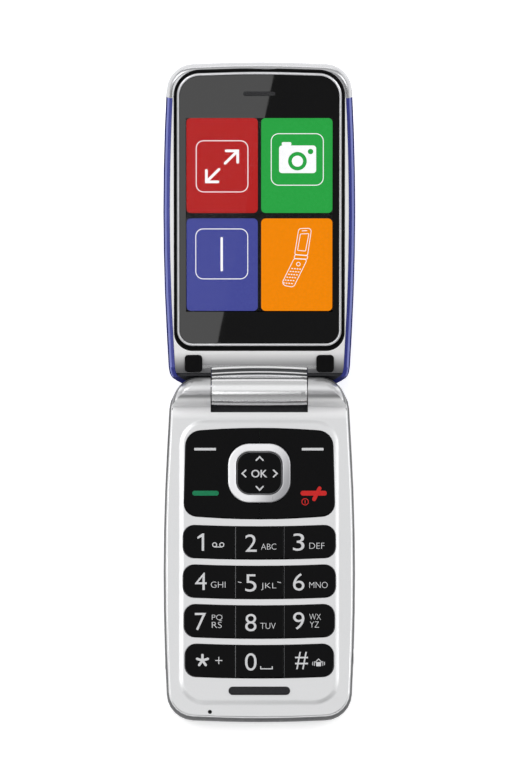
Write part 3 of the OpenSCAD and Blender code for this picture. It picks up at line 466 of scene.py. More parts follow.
def outline(corners, inset=0.0, steps=8):
    """Outline through corners (x, y, radius), counter-clockwise, moved inwards by inset."""
    made = []
    count = len(corners)
    for i in range(count):
        p, q, r = (Vector(corners[(i + j) % count][:2]) for j in (-1, 0, 1))
        u, v = (q - p).normalized(), (r - q).normalized()
        nu, nv = Vector((-u.y, u.x)), Vector((-v.y, v.x))
        turn = math.atan2(u.cross(v), u.dot(v))
        side = 1 if turn > 0 else -1
        moved = q + inset * (nu + nv) / (1 + nu.dot(nv))
        radius = max(corners[i][2] - side * inset, 0.05)
        centre = moved - u * radius * math.tan(abs(turn) / 2) + nu * radius * side
        for k in range(steps + 1):
            made.append(centre + Matrix.Rotation(turn * k / steps, 2) @ (-nu * radius * side))
    return made


def box_corners(left, low, right, high, r):
    """Corners of an upright rectangle with one radius."""
    return [(left, low, r), (right, low, r), (right, high, r), (left, high, r)]


def edges_round(bm, verts):
    """Edges of the closed loop through corners, made where there are none yet. Each runs backwards, which
    starts the faces extruded from it at the loop's own corner and so sets the diagonal they split along."""
    return [bm.edges.get(ends) or bm.edges.new(ends) for ends in zip(verts[1:] + verts[:1], verts)]


def loft(bm, rings, closed=False):
    """Extrudes a loop through rings of equally many points and gives each step's faces. closed joins the
    last ring to the first, else both ends are filled."""
    first = verts = [bm.verts.new(point) for point in rings[0]]
    edges = edges_round(bm, verts)
    steps = []
    for ring in rings[1:] + (rings[:1] if closed else []):
        made = set(bmesh.ops.extrude_edge_only(bm, edges=edges)["geom"])
        steps.append([next(face for face in edge.link_faces if face in made) for edge in edges])
        verts = [next(e.other_vert(v) for e in v.link_edges if e.other_vert(v) in made) for v in verts]
        edges = edges_round(bm, verts)
        for v, point in zip(verts, ring):
            v.co = point
    if closed:
        bmesh.ops.weld_verts(bm, targetmap=dict(zip(verts, first)))
    else:
        for end in (edges_round(bm, first), edges):
            bmesh.ops.edgeloop_fill(bm, edges=end)
    return steps


def profile_loft(corners, profile, closed=False, steps=14):
    """Lofts an outline through (inset, height) pairs."""
    bm = bmesh.new()
    loft(bm, [[(*point, z) for point in outline(corners, inset, steps)] for inset, z in profile], closed)
    return bm


def slab(bm, points, low, high):
    """Flat solid between two heights of one outline."""
    loft(bm, [[(*point, z) for point in points] for z in (low, high)])


def plate(bm, corners, low, high, steps=6):
    """Flat solid with rounded corners."""
    slab(bm, outline(corners, 0, steps), low, high)


def ribbon(bm, points, width, low, high, closed=False, caps=True):
    """Flat line of even width through points, with round ends unless caps is off."""
    points = [Vector(p) for p in points]
    left, right = [], []
    last = len(points) - 1
    for i, p in enumerate(points):
        before = points[i - 1] if i or closed else p
        after = points[(i + 1) % len(points)] if i < last or closed else p
        u = (p - before).normalized() if p != before else (after - p).normalized()
        v = (after - p).normalized() if p != after else u
        normal = Vector((-u.y - v.y, u.x + v.x)).normalized()
        reach = width / 2 / max(0.35, normal.dot(Vector((-u.y, u.x))))
        left.append(p + normal * reach)
        right.append(p - normal * reach)
    if closed:
        section = ((left, low), (right, low), (right, high), (left, high))
        loft(bm, [[(*point, z) for point in side] for side, z in section], closed=True)
        return
    ends = []
    for p, edge in ((points[0], left[0] - points[0]), (points[-1], right[-1] - points[-1])):
        ends.append([p + Matrix.Rotation(math.pi * k / 6, 2) @ edge for k in range(1, 6)] if caps else [])
    slab(bm, list(reversed(left)) + ends[0] + right + ends[1], low, high)


def circle(x, y, r, steps):
    """Points round a circle."""
    angles = [2 * math.pi * k / steps for k in range(steps)]
    return [(x + r * math.cos(a), y + r * math.sin(a)) for a in angles]


def disc(bm, x, y, r, low, high):
    """Round flat solid."""
    slab(bm, circle(x, y, r, 24), low, high)


def annulus(bm, x, y, r, width, low, high, steps=24):
    """Flat ring."""
    ribbon(bm, circle(x, y, r, steps), width, low, high, closed=True)


def lettering(bm, text, x, y, width, height, low, high, weight):
    """Text fitted to a box about (x, y); weight thickens or thins its strokes."""
    curve = bpy.data.curves.new("lettering", "FONT")
    curve.body = text
    curve.extrude = 0.05
    curve.offset = weight
    curve.resolution_u = 6
    holder = bpy.data.objects.new("lettering", curve)
    link(holder)
    bpy.context.view_layer.update()
    shape = bpy.data.meshes.new_from_object(holder.evaluated_get(bpy.context.evaluated_depsgraph_get()))
    bpy.data.objects.remove(holder)
    bpy.data.curves.remove(curve)
    spans = [(min(v.co[i] for v in shape.vertices), max(v.co[i] for v in shape.vertices)) for i in range(3)]
    for v in shape.vertices:
        at = [(v.co[i] - spans[i][0]) / (spans[i][1] - spans[i][0]) for i in range(3)]
        v.co = (x + (at[0] - 0.5) * width, y + (at[1] - 0.5) * height, low + at[2] * (high - low))
    bm.from_mesh(shape)
    bpy.data.meshes.remove(shape)


def refined(node_name, name, body, bevel, mats=None, steps=3, pick=None, paint=None, reshape=None):
    """A CAD shell redrawn with softened edges. pick chooses edges by their middle, in metres."""
    bm = bmesh.new()
    bm.from_mesh(NODES[node_name].data)
    bmesh.ops.remove_doubles(bm, verts=bm.verts, dist=WELD)
    bmesh.ops.dissolve_limit(bm, angle_limit=math.radians(FLAT_ANGLE), verts=bm.verts, edges=bm.edges)
    bmesh.ops.recalc_face_normals(bm, faces=bm.faces)
    limit = math.radians(BEVEL_ANGLE)
    edges = [e for e in bm.edges if len(e.link_faces) == 2 and e.calc_face_angle_signed(0) > limit
             and (pick is None or pick((e.verts[0].co + e.verts[1].co) / 2))]
    if edges:
        bmesh.ops.bevel(bm, geom=edges, offset=bevel * MM, segments=steps, profile=0.5, affect="EDGES",
                        clamp_overlap=True, material=-1)
    if reshape:
        reshape(bm)
    if paint:
        for face in bm.faces:
            face.material_index = paint(face)
    slot = slot_of(node_name)
    piece(name, bm, body, mats or SLOT_FINISH[slot], stands_for=(node_name,))


# ---------------- keypad half
# Millimetres: y is the CAD frame's, along is counted from the hinge axis, and minus is towards the chin

# Places in the list of finishes of the cover
COVER_SILVER, COVER_SHADE_BAND, COVER_EDGE_SHADE, COVER_SLOPE_SHADE = range(4)
# Heights: the cover's face, the top of the band of painted shade round its side, the keys and the function
# plates
FACE_Z = 9.0
SHADE_BAND_TOP = 8.05
KEY_TOP = 9.9
PLATE_TOP = 9.7
# Edges are softened above these heights on cover and keys, and below this one on the housing
COVER_SOFT_Z = 8.2
KEY_SOFT_Z = 9.2
HOUSING_SOFT_Z = 1.6
# Pocket behind the barrel, painted dark as shade: half width, start and end along, and top
POCKET = (14.3, -5.9, 2.0, 8.95)
# Microphone hole (x, y), reach of its mouth, and radius and heights of the dark disc painted as shade down in
# it
MIC = (-14.5, -46.4)
MOUTH_R = 0.75
HOLE_SHADE_R = 0.58
HOLE_SHADE_Z = (8.4, 8.5)
# A face is a wall when its normal rises by less than this
WALL_RISE = 0.5
# Hinge shoulders, whose walls are painted darker as shade: inner side, start along, least lean and greatest
# rise of a wall there
SHOULDER = (14.2, -5.0, -0.35, 0.55)
# Long sides, and the rounded chin corners: centre (x, y) and radius; walls past them are painted darker as
# shade
SIDE_X = 25.6
CHIN_CORNER = (20.0, -40.0, 6.4)
# Slope of the raised keypad at the chin, painted a little darker as shade: span in y, heights, greatest lean
# and least rise
SLOPE_Y = (-46.0, -36.0)
SLOPE_Z = (8.98, 9.45)
SLOPE_LEAN = -0.12
SLOPE_RISE = 0.8
# Hollow before each hinge shoulder: inner side, span along and radius, and the barrel's radius
HOLLOW_X = 14.25
HOLLOW_SPAN = (-5.66, -4.14)
HOLLOW_R = 0.4
BARREL_R = 4.2


def cover_tone(face):
    """Silver face; painted shade on the band round the side, in the pocket behind the barrel, on the
    microphone hole's wall, on the walls of sides, chin corners and hinge shoulders, and on the keypad's slope
    at the chin.
    """
    x, y, z = (value / MM for value in face.calc_center_median())
    wide, along, lean, rise = abs(x), y - HINGE_Y, face.normal.y, abs(face.normal.z)
    half, start, end, top = POCKET
    pocket = wide < half and start < along < end and z < top
    mouth = math.hypot(x - MIC[0], y - MIC[1]) < MOUTH_R and rise < WALL_RISE
    if pocket or mouth or z < SHADE_BAND_TOP:
        return COVER_SHADE_BAND
    inner, start, least_lean, most_rise = SHOULDER
    shoulder = wide > inner and along > start and lean > least_lean and rise < most_rise
    corner_x, corner_y, corner_r = CHIN_CORNER
    corner = math.hypot(max(0.0, wide - corner_x), max(0.0, corner_y - y)) > corner_r
    if shoulder or (rise < WALL_RISE and (wide > SIDE_X or corner)):
        return COVER_EDGE_SHADE
    slope = SLOPE_Y[0] < y < SLOPE_Y[1] and SLOPE_Z[0] < z < SLOPE_Z[1]
    return COVER_SLOPE_SHADE if slope and lean < SLOPE_LEAN and face.normal.z > SLOPE_RISE else COVER_SILVER


def tighten_shoulders(bm):
    """Draws the hollow before each shoulder in, and parts the side along the top of its band of painted
    shade.
    """
    cut(bm, (0, 0, SHADE_BAND_TOP * MM), (0, 0, 1))
    for v in bm.verts:
        wide, along, high = abs(v.co.x) / MM, v.co.y / MM - HINGE_Y, v.co.z / MM
        low, top = FACE_Z - 0.01, HINGE_Z
        if wide < HOLLOW_X or not HOLLOW_SPAN[0] < along < HOLLOW_SPAN[1] or not low < high < top:
            continue
        drop = max(0.0, FACE_Z + HOLLOW_R - high)
        reach = HOLLOW_R - math.sqrt(max(0.0, HOLLOW_R ** 2 - drop ** 2))
        v.co.y = (HINGE_Y - BARREL_R - reach) * MM


def microphone_hole_shade():
    """Dark disc down in the microphone hole, painted as its shade."""
    bm = bmesh.new()
    disc(bm, MIC[0], MIC[1] - HINGE_Y, HOLE_SHADE_R, *HOLE_SHADE_Z)
    piece("microphone_hole_shade", bm, "base", GROOVE, BASE)


def base_shells():
    """Outer shells of the keypad half and the small parts in them."""
    refined("base_front_cover", "front_cover", "base", 0.16, [SILVER, COVER_PAINTED_SHADE, EDGE_PAINTED_SHADE, SLOPE_PAINTED_SHADE],
            paint=cover_tone, pick=lambda p: p.z > COVER_SOFT_Z * MM, reshape=tighten_shoulders)
    microphone_hole_shade()
    refined("base_rear_housing", "rear_housing", "base", 0.1, RIM_GREY,
            pick=lambda p: p.z < HOUSING_SOFT_Z * MM)
    refined("battery_cover", "battery_door", "battery_cover", 0.12, RIM_GREY)
    refined("chin_pad", "chin_bar", "base", 0.4, PAD_GREY)
    refined("case_screws", "housing_screws", "base", 0.08, SCREW)
    refined("headset_jack", "headset_socket", "base", 0.1)
    refined("usb_port", "charging_socket", "base", 0.06)


# ---------------- number keys

# Radius of the keys' crown, and the middle of the first row and the pitch of the rows, along
CROWN_R = 60.0
ROW_START = -44.8
ROW_PITCH = 11.77
# Spacing of the cuts that let a legend follow the crown, and its lift over the key
CROWN_CUT = 0.7
LEGEND_LIFT = 0.012
# Height of a digit, and thickness of the print and of strokes that lie across others
DIGIT_H = 5.15
INK = 0.03
UNDER = INK * 0.8
DIGIT_WEIGHT = -0.004
LETTER_WEIGHT = -0.014
# Edges of a key cap painted lighter as a highlight: lean of those that face left and right, least rise
# and height, and the x past which those that face right are painted
GLINT_LEAN = (-0.3, 0.5)
GLINT_RISE = 0.35
GLINT_Z = 9.3
GLINT_X = 20
# Row, digit, its x, width and rise, then lettering as (text, x, rise, width, height)
LEGENDS = {
    "key_1": (0, "1", -17.2, 2.0, -0.1, []),
    "key_2": (0, "2", -2.45, 3.4, -0.4, [("ABC", 2.75, -1.45, 4.5, 1.75)]),
    "key_3": (0, "3", 11.6, 3.35, -0.1, [("DEF", 16.95, -1.2, 4.45, 1.75)]),
    "key_4": (1, "4", -17.2, 3.4, 0.0, [("GHI", -12.1, -1.0, 4.3, 1.8)]),
    "key_5": (1, "5", -2.5, 3.3, -0.5, [("JKL", 2.75, -1.55, 4.5, 2.15)]),
    "key_6": (1, "6", 11.6, 3.35, -0.2, [("MNO", 17.4, -1.1, 5.4, 1.8)]),
    "key_7": (2, "7", -17.3, 3.3, -0.2, [("PQ", -12.4, 0.9, 3.1, 1.9), ("RS", -12.5, -1.2, 2.9, 1.8)]),
    "key_8": (2, "8", -2.5, 3.3, -0.5, [("TUV", 2.55, -1.5, 4.5, 1.75)]),
    "key_9": (2, "9", 11.6, 3.3, 0.0, [("WX", 16.4, 1.2, 3.4, 1.8), ("YZ", 16.2, -1.1, 2.7, 1.8)]),
    "key_star": (3, "", -16.7, 3.9, 0.0, [("+", -11.9, 0.0, 2.1, 2.1)]),
    "key_0": (3, "0", -2.5, 3.4, -0.4, []),
    "key_hash": (3, "#", 12.4, 3.8, 0.0, []),
}


def key_height(y, row):
    """Height of a crowned key top at a place along the phone."""
    return KEY_TOP - CROWN_R + math.sqrt(CROWN_R ** 2 - (y - ROW_START + row * ROW_PITCH) ** 2)


def on_crown(bm, row):
    """Lays flat legends onto the crowned key tops."""
    for k in range(-4, 5):
        cut(bm, (0, ROW_START - row * ROW_PITCH + k * CROWN_CUT, 0), (0, 1, 0), dist=1e-4)
    for v in bm.verts:
        v.co.z += key_height(v.co.y, row) + LEGEND_LIFT


def key_glint_paint(face):
    """Softened side edges of a key, painted lighter as a highlight."""
    n, p = face.normal, face.calc_center_median()
    side = n.x < GLINT_LEAN[0] or (n.x > GLINT_LEAN[1] and p.x > GLINT_X * MM)
    return 1 if n.z > GLINT_RISE and side and p.z > GLINT_Z * MM else 0


def digit_one(bm, x, y):
    """A plain one: a stem with a flag."""
    top = y + DIGIT_H / 2
    foot = top - DIGIT_H
    stem = ((0.95, foot), (0.95, top), (0.4, top), (-1.0, top - 1.0), (-1.0, top - 1.65), (0.25, top - 1.0),
            (0.25, foot))
    plate(bm, [(x + side, along, 0.05) for side, along in stem], 0, INK, steps=2)


def tape_sign(bm, y):
    """Two spools on a line, for messages."""
    middle, reach, line, foot = -12.1, 1.05, 0.28, y - 1.56
    for side in (-1, 1):
        annulus(bm, middle + reach * side, y - 0.9, 0.6, line, 0, INK)
    ribbon(bm, [(middle - reach, foot), (middle + reach, foot)], line, 0, UNDER)


def star_sign(bm, y):
    """Five arms, each a little thicker than the last so that no two tops coincide."""
    x, reach = -16.7, 1.65
    for arm in range(5):
        a = math.radians(90 + 72 * arm)
        tip = (x + reach * math.cos(a), y + reach * math.sin(a))
        ribbon(bm, [(x, y), tip], 0.72, 0, INK * (0.8 + 0.05 * arm))


def space_sign(bm, y):
    """Open tray of the space sign."""
    left, right, top, foot = 0.4, 3.8, y - 1.7, y - 2.45
    ribbon(bm, [(left, top), (left, foot), (right, foot), (right, top)], 0.3, 0, INK, caps=False)


def side_strokes(bm, y):
    """Short stroke near each side of the middle key."""
    for side in (-1, 1):
        x = 0.1 + 5.8 * side
        ribbon(bm, [(x - 0.5, y - 0.2), (x + 0.4, y - 0.4)], 0.2, 0, INK)


def ringer_sign(bm, y):
    """Arrow over a block, with two waves at each side."""
    x, y = 17.4, y - 0.8
    plate(bm, box_corners(x - 0.75, y - 0.9, x + 0.75, y + 0.35, 0.15), 0, INK)
    ribbon(bm, [(x - 0.95, y + 0.3), (x, y + 1.25), (x + 0.95, y + 0.3)], 0.22, 0, UNDER)
    for side in (-1, 1):
        for reach, low, high in ((1.25, -0.7, 0.5), (1.75, -0.5, 0.3)):
            ribbon(bm, [(x + reach * side, y + low), (x + reach * side, y + high)], 0.2, 0, INK)


SIGNS = {"key_1": tape_sign, "key_star": star_sign, "key_0": space_sign, "key_5": side_strokes,
         "key_hash": ringer_sign}


def number_keys():
    """Twelve crowned key caps, each with its legend."""
    for name, (row, digit, x, width, rise, letters) in LEGENDS.items():
        refined(name, "cap_" + name[4:], name, 0.34, [KEY, KEY_PAINTED_GLINT], steps=4,
                pick=lambda p: p.z > KEY_SOFT_Z * MM, paint=key_glint_paint)
        bm = bmesh.new()
        y = ROW_START - row * ROW_PITCH
        if digit == "1":
            digit_one(bm, x, y + rise)
        elif digit:
            lettering(bm, digit, x, y + rise, width, DIGIT_H, 0, INK, DIGIT_WEIGHT)
        for text, side, up, wide, high in letters:
            lettering(bm, text, side, y + up, wide, high, 0, INK, LETTER_WEIGHT)
        if name in SIGNS:
            SIGNS[name](bm, y)
        on_crown(bm, row)
        piece("legend_" + name[4:], bm, name, LEGEND, BASE)


# ---------------- function keys and pad

# Heights of the print on the plates and the pad, and the extra on a stroke across another
PLATE_PRINT = (PLATE_TOP + 0.005, PLATE_TOP + 0.035)
PAD_PRINT = (9.855, 9.885)
OVER = 0.01
# Span along of the call and end bars
BAR_SPAN = (-31.0, -29.55)
# Outline of the pad's ring, and sections of ring and cap: (inset, height)
RING = box_corners(-9.2, RING_MID - 8.8, 9.2, RING_MID + 8.8, 6.4)
RING_SECTION = [(0.05, 8.4), (0.0, 9.72), (0.05, 9.86), (0.18, 9.95), (0.4, 9.99), (1.2, 10.0), (2.0, 9.98),
                (2.2, 9.93), (2.32, 9.8), (2.35, 9.6), (2.35, 7.4), (0.05, 7.4)]
CAP_SECTION = [(2.5, 8.65), (2.5, 9.45), (2.56, 9.62), (2.72, 9.75), (3.0, 9.82), (3.6, 9.85)]
# Arrows of the pad: place from its middle and turn in degrees; their shape and width
ARROWS = ((0.1, 4.3, 0), (0.1, -4.55, 180), (-4.5, -0.15, 90), (4.7, -0.15, -90))
ARROW = ((-1.0, -0.5), (0, 0.55), (1.0, -0.5))
ARROW_LINE = 0.42


def call_bar():
    """Green bar of the call key."""
    bm = bmesh.new()
    plate(bm, box_corners(-19.75, BAR_SPAN[0], -11.95, BAR_SPAN[1], 0.7), *PLATE_PRINT)
    piece("call_bar", bm, "left_key_plate", GREEN, BASE)


def end_bar():
    """Red bar of the end key with a slash across it, and the power sign under it."""
    bm = bmesh.new()
    low, high = PLATE_PRINT
    plate(bm, box_corners(12.15, BAR_SPAN[0], 19.9, BAR_SPAN[1], 0.7), low, high)
    ribbon(bm, [(16.15, -32.1), (17.75, -28.85)], 1.15, low, high + OVER)
    annulus(bm, 13.5, -32.85, 0.95, 0.24, low, high)
    ribbon(bm, [(13.5, -33.45), (13.5, -32.25)], 0.24, low, high + OVER, caps=False)
    piece("end_bar", bm, "right_key_plate", RED, BASE)


def function_plates():
    """Function keys beside the ring: a soft key's bar at one end, call or end key at the other."""
    for side, x, bar in (("left", -16.0, call_bar), ("right", 15.75, end_bar)):
        name = side + "_key_plate"
        refined(name, side + "_function_plate", name, 0.3, KEY, steps=4,
                pick=lambda p: p.z > KEY_SOFT_Z * MM and abs(p.x) > 1.0 * MM)
        bm = bmesh.new()
        plate(bm, box_corners(x - 3.2, -17.5, x + 3.2, -16.75, 0.12), *PLATE_PRINT)
        piece("soft_key_bar_" + side, bm, name, LEGEND, BASE)
        bar()


def four_way_pad():
    """Silver ring, with the black cap that tilts inside it and its print."""
    piece("four_way_ring", profile_loft(RING, RING_SECTION, closed=True), "base", RING_PAINTED_SHEEN, BASE,
          stands_for=("nav_ring",))
    cap = profile_loft(RING, CAP_SECTION)
    cap.normal_update()
    # The cap's sloped bevel is painted lighter as a highlight
    for face in cap.faces:
        face.material_index = 1 if 0.2 < abs(face.normal.z) < 0.8 else 0
    piece("four_way_cap", cap, "nav_pad", [KEY, KEY_PAINTED_GLINT], BASE, stands_for=("nav_pad",))
    bm = bmesh.new()
    lettering(bm, "OK", 0.0, RING_MID - 0.2, 4.7, 2.3, *PAD_PRINT, 0.012)
    for x, y, turn in ARROWS:
        tip = Matrix.Rotation(math.radians(turn), 2)
        ribbon(bm, [Vector((x, RING_MID + y)) + tip @ Vector(p) for p in ARROW], ARROW_LINE, *PAD_PRINT)
    piece("four_way_legend", bm, "nav_pad", LEGEND, BASE)


# ---------------- lid

# Places in the lists of finishes of the lid's cover and of its frame
LID_BLUE, LID_DARK, LID_SHADE, LID_HIGHLIGHT = range(4)
FRAME_SILVER, FRAME_BARREL, FRAME_GROOVE, FRAME_FOOT_HIGHLIGHT, FRAME_CAP = range(5)
# Outlines of the window and of the groove round its bright ring
WINDOW = [(-23.4, 14.46, 3.8), (23.4, 14.46, 3.8), (23.4, 93.75, 6), (0, 94.45, 300), (-23.4, 93.75, 6)]
GROOVE_EDGE = [(-24.85, 12.51, 5.2), (24.85, 12.51, 5.2), (24.85, 95.35, 7.5), (0, 96.05, 300),
               (-24.85, 95.35, 7.5)]
# Height of the lid's face, seam of the end cap, sweep over the shoulders, and top of the open lid
INNER_N = 1.1
CAP_SEAM = 87.5
SWEEP_R = 4.5
LID_CREST = 33.85
# Blue cover: lowest dark ledge, turn painted darker as shade and rim painted lighter as highlight, and the
# rise where turn and rim end
LEDGE_N = -1.2
SHADE_N = -3.9
HIGHLIGHT_N = -1.0
TURN_RISE = 0.45
FRONT_RISE = 0.97
# Frame: half width and end of the barrel's neck, end and height of the foot beside it, painted as a highlight
NECK = (14.1, 7.4)
FOOT = (5.85, 1.2)
# Edges of the frame are softened above this height, if past this distance along or this half width
FRAME_SOFT = (0.1, 7.6, 14.2)


def inside(corners, x, y, inset):
    """Whether a point lies within an outline."""
    hits = 0
    ring = outline(corners, inset)
    for p, q in zip(ring, ring[1:] + ring[:1]):
        if (p.y > y) != (q.y > y) and x < p.x + (y - p.y) * (q.x - p.x) / (q.y - p.y):
            hits += 1
    return hits % 2 == 1


def in_lid(p):
    """Lid axes of a point, in millimetres."""
    return LID.inverted() @ p


def parted_at(along):
    """Reshaping that parts a shell across the lid, at a distance from the hinge axis."""
    def part(bm):
        cut(bm, LID @ Vector((0, along, 0)), (LID.to_3x3() @ Vector((0, 1, 0))).normalized())
    return part


def cover_paint(face):
    """Blue outside, its turn painted darker as shade and its rim lighter as highlight; the hollow round the
    hinge shoulders is dark grey.
    """
    p = in_lid(face.calc_center_median())
    hollow = math.hypot(p.y, p.z) < SWEEP_R + 0.12
    ledge = p.y < RIM_CENTRE[1] and p.z > LEDGE_N and face.normal.z > 0.5
    if hollow or ledge:
        return LID_DARK
    rise = (LID.inverted().to_3x3() @ face.normal).normalized().z
    if p.z > SHADE_N and 0 <= rise < TURN_RISE:
        return LID_SHADE
    return LID_HIGHLIGHT if p.z > HIGHLIGHT_N and TURN_RISE <= rise < FRONT_RISE else LID_BLUE


def frame_paint(face):
    """Brighter barrel, lower edge painted light as a highlight, black groove round the bright ring."""
    p = in_lid(face.calc_center_median())
    if abs(p.x) < NECK[0] and p.y < NECK[1]:
        return FRAME_BARREL
    if p.y < FOOT[0] and 0 < p.z < FOOT[1]:
        return FRAME_FOOT_HIGHLIGHT
    if p.z < INNER_N - 0.2 and inside(GROOVE_EDGE, p.x, p.y, -0.06):
        return FRAME_GROOVE
    return FRAME_CAP if p.y > CAP_SEAM else FRAME_SILVER


def frame_softened(p):
    """Whether an edge of the lid's frame is softened."""
    height, past, beyond = FRAME_SOFT
    place = in_lid(p)
    return place.z > height and (place.y > past or abs(p.x) > beyond * MM)


# Section of the hinge cover (along the lid, out of it, finish of the face that starts there);
# finish 1 is a painted highlight and 2 is painted shade
RIBS = [(7.7, -0.6, 0), (7.7, 0.6, 0), (7.52, 0.98, 1), (7.36, 1.07, 1), (7.16, 1.04, 1), (7.0, 0.92, 2),
        (6.86, 0.5, 2), (6.5, 0.42, 2), (6.1, 0.5, 2), (6.02, 0.72, 1), (5.86, 0.76, 1), (5.66, 0.7, 2),
        (5.5, 0.3, 2), (5.1, 0.12, 2), (4.9, 0.06, 0), (4.45, -0.05, 0)]
# Half length of the barrel, slices from its middle to an end, and the bow of the ribs
HALF_BARREL = 14.04
SLICES = 14
RIB_BOW = 0.5
# Skin over the barrel, its swell in the middle, its draw at the ends, and the inner radius
BARREL_SKIN = 0.03
BARREL_CROWN = 0.12
END_DRAW = 0.1
INNER_R = 3.85
# Fine ridge along the barrel, painted as a highlight: from and to in degrees, and its height
RIDGE = (27, 33, 0.07)


def barrel_slice(number):
    """Ring of the hinge cover, and the finish of the strip that starts at each of its points: silver, painted
    highlight or painted shade.
    """
    x = HALF_BARREL * number / SLICES
    full = 1 - (number / SLICES) ** 2
    draw = END_DRAW if abs(number) == SLICES else 0.0
    ring = [(x, s - RIB_BOW * (1 - full), n - draw) for s, n, tone in RIBS]
    tones = [tone for s, n, tone in RIBS]
    outer = BARREL_R + BARREL_SKIN + BARREL_CROWN * full - draw
    arc = [(a, outer + RIDGE[2], 1) if RIDGE[0] < a < RIDGE[1] else (a, outer, 0) for a in range(-4, 201, 4)]
    arc += [(a, INNER_R, 0) for a in range(200, -5, -12)]
    for a, r, tone in arc:
        ring.append((x, r * math.cos(math.radians(a)), r * math.sin(math.radians(a))))
        tones.append(tone)
    return ring, tones


def hinge_cover():
    """Barrel a little fuller in its middle, with the two bowed ribs that join it to the lid; crests and ridge
    painted as highlights, valleys as shade.
    """
    bm = bmesh.new()
    slices = [barrel_slice(number) for number in range(-SLICES, SLICES + 1)]
    for faces, (_, tones) in zip(loft(bm, [ring for ring, _ in slices]), slices):
        for face, tone in zip(faces, tones):
            face.material_index = tone
    piece("hinge_cover", bm, "lid", [BRIGHT_SILVER, RIB_PAINTED_HIGHLIGHT, RIB_PAINTED_SHADE], LID)


def lid_shells():
    """Outer shells of the lid and the small parts in them."""
    refined("lid_rear_cover", "lid_cover", "lid", 0.2, [BLUE, LID_HOLLOW, BLUE_SHADE, BLUE_PAINTED_HIGHLIGHT],
            paint=cover_paint, reshape=parted_at(RIM_CENTRE[1]),
            pick=lambda p: math.hypot(in_lid(p).y, in_lid(p).z) > SWEEP_R + 0.2)
    refined("lid_top_cap", "lid_end_cap", "lid", 0.08, CAP_SILVER)
    refined("lid_front_bezel", "lid_frame", "lid", 0.12,
            [LID_SILVER, BRIGHT_SILVER, GROOVE, RIB_PAINTED_HIGHLIGHT, CAP_SILVER],
            paint=frame_paint, reshape=parted_at(CAP_SEAM), pick=frame_softened)
    hinge_cover()
    refined("rubber_bumpers", "rubber_stops", "lid", 0.35, RUBBER, steps=4)
    refined("led_bar", "notice_light", "lid", 0.1)
    refined("camera_lens", "camera_glass", "lid", 0.15)


# Sections of the bright ring and of the seal in its groove: (inset, height out of the lid)
BRIGHT_SECTION = [(-0.8, -0.2), (-0.85, 0.8), (-0.75, 0.98), (-0.55, 1.08), (-0.35, 1.1), (-0.15, 1.04),
                  (-0.06, 0.9), (-0.05, -0.2)]
SEAL_SECTION = [(-0.32, 1.0), (-0.32, 1.115), (0.15, 1.115), (0.15, 1.0)]


def window():
    """Pane with its bright ring and the thin seal round them."""
    piece("bright_ring", profile_loft(WINDOW, BRIGHT_SECTION, closed=True), "lid", CHROME, LID,
          stands_for=("window_ring",))
    seal = profile_loft(GROOVE_EDGE, SEAL_SECTION, closed=True, steps=12)
    tilt = math.radians(LID_TILT)
    for v in seal.verts:
        v.co.z = min(v.co.z, (LID_CREST - v.co.y * math.sin(tilt)) / math.cos(tilt))
    piece("groove_seal", seal, "lid", GROOVE, LID)
    refined("display_window", "window_pane", "lid", 0.12, PANE, pick=lambda p: in_lid(p).z > 0.6)


# ---------------- display

# Tiles: name, sides and two near tones of the colour; the radius of their corners
TILE_R = 1.3
TILES = (
    ("red", (-21.4, 53.15, -0.45, 81.35), (172, 33, 33), (177, 36, 36)),
    ("green", (0.55, 53.15, 21.5, 81.35), (40, 157, 65), (43, 161, 69)),
    ("blue", (-21.4, 23.95, -0.45, 51.5), (67, 72, 146), (70, 76, 150)),
    ("orange", (0.55, 23.95, 21.5, 51.5), (234, 131, 3), (240, 134, 6)),
)
# Frames drawn on three of the tiles, and the radius of their corners
FRAMES = ((-18.55, 59.4, -3.35, 74.6), (3.5, 61.4, 18.8, 76.7), (-18.7, 33.5, -3.4, 48.4))
FRAME_R = 2.2
# Heights of the tiles, the icons and what lies on an icon
TILE_N = (-0.29, -0.26)
ICON_N = (-0.25, -0.22)
TOP_N = (ICON_N[1] + 0.01, ICON_N[1] + 0.03)
# Widths of lines: the frames, the enlarge icon and the drawn phone
FRAME_LINE = 0.24
SHAFT_LINE = 0.8
THIN_LINE = 0.18


def display_tiles():
    """Four lit tiles with their icons."""
    for name, sides, low, high in TILES:
        bm = bmesh.new()
        plate(bm, box_corners(*sides, TILE_R), *TILE_N, steps=8)
        piece("tile_" + name, bm, "lid", lit("tile_" + name, low, high), LID)
    bm = bmesh.new()
    for frame_box in FRAMES:
        ribbon(bm, outline(box_corners(*frame_box, FRAME_R)), FRAME_LINE, *ICON_N, closed=True)
    enlarge_icon(bm)
    camera_icon(bm)
    plate(bm, box_corners(-11.42, 35.75, -10.72, 45.95, 0.3), *ICON_N)
    flip_icon(bm)
    white = lit("icon_white", (246, 246, 248), (252, 252, 254))
    piece("display_icons", bm, "lid", white, LID)
    bm = bmesh.new()
    annulus(bm, 11.2, 68.55, 2.2, 1.1, *TOP_N, 40)
    disc(bm, 15.05, 71.4, 0.8, *TOP_N)
    piece("camera_icon_lens", bm, "lid", bpy.data.materials["tile_green"], LID)


def enlarge_icon(bm):
    """Two corner arrows drawn away from each other."""
    middle, near, far, head = Vector((-10.95, 67.0)), 0.9, 4.6, 3.4
    for side in (-1, 1):
        tip = middle + Vector((far, far)) * side
        ribbon(bm, [middle + Vector((near, near)) * side, tip], SHAFT_LINE, ICON_N[0], ICON_N[1] - 0.005)
        corner = [tip - Vector((head * side, 0)), tip, tip - Vector((0, head * side))]
        ribbon(bm, corner, SHAFT_LINE, *ICON_N)


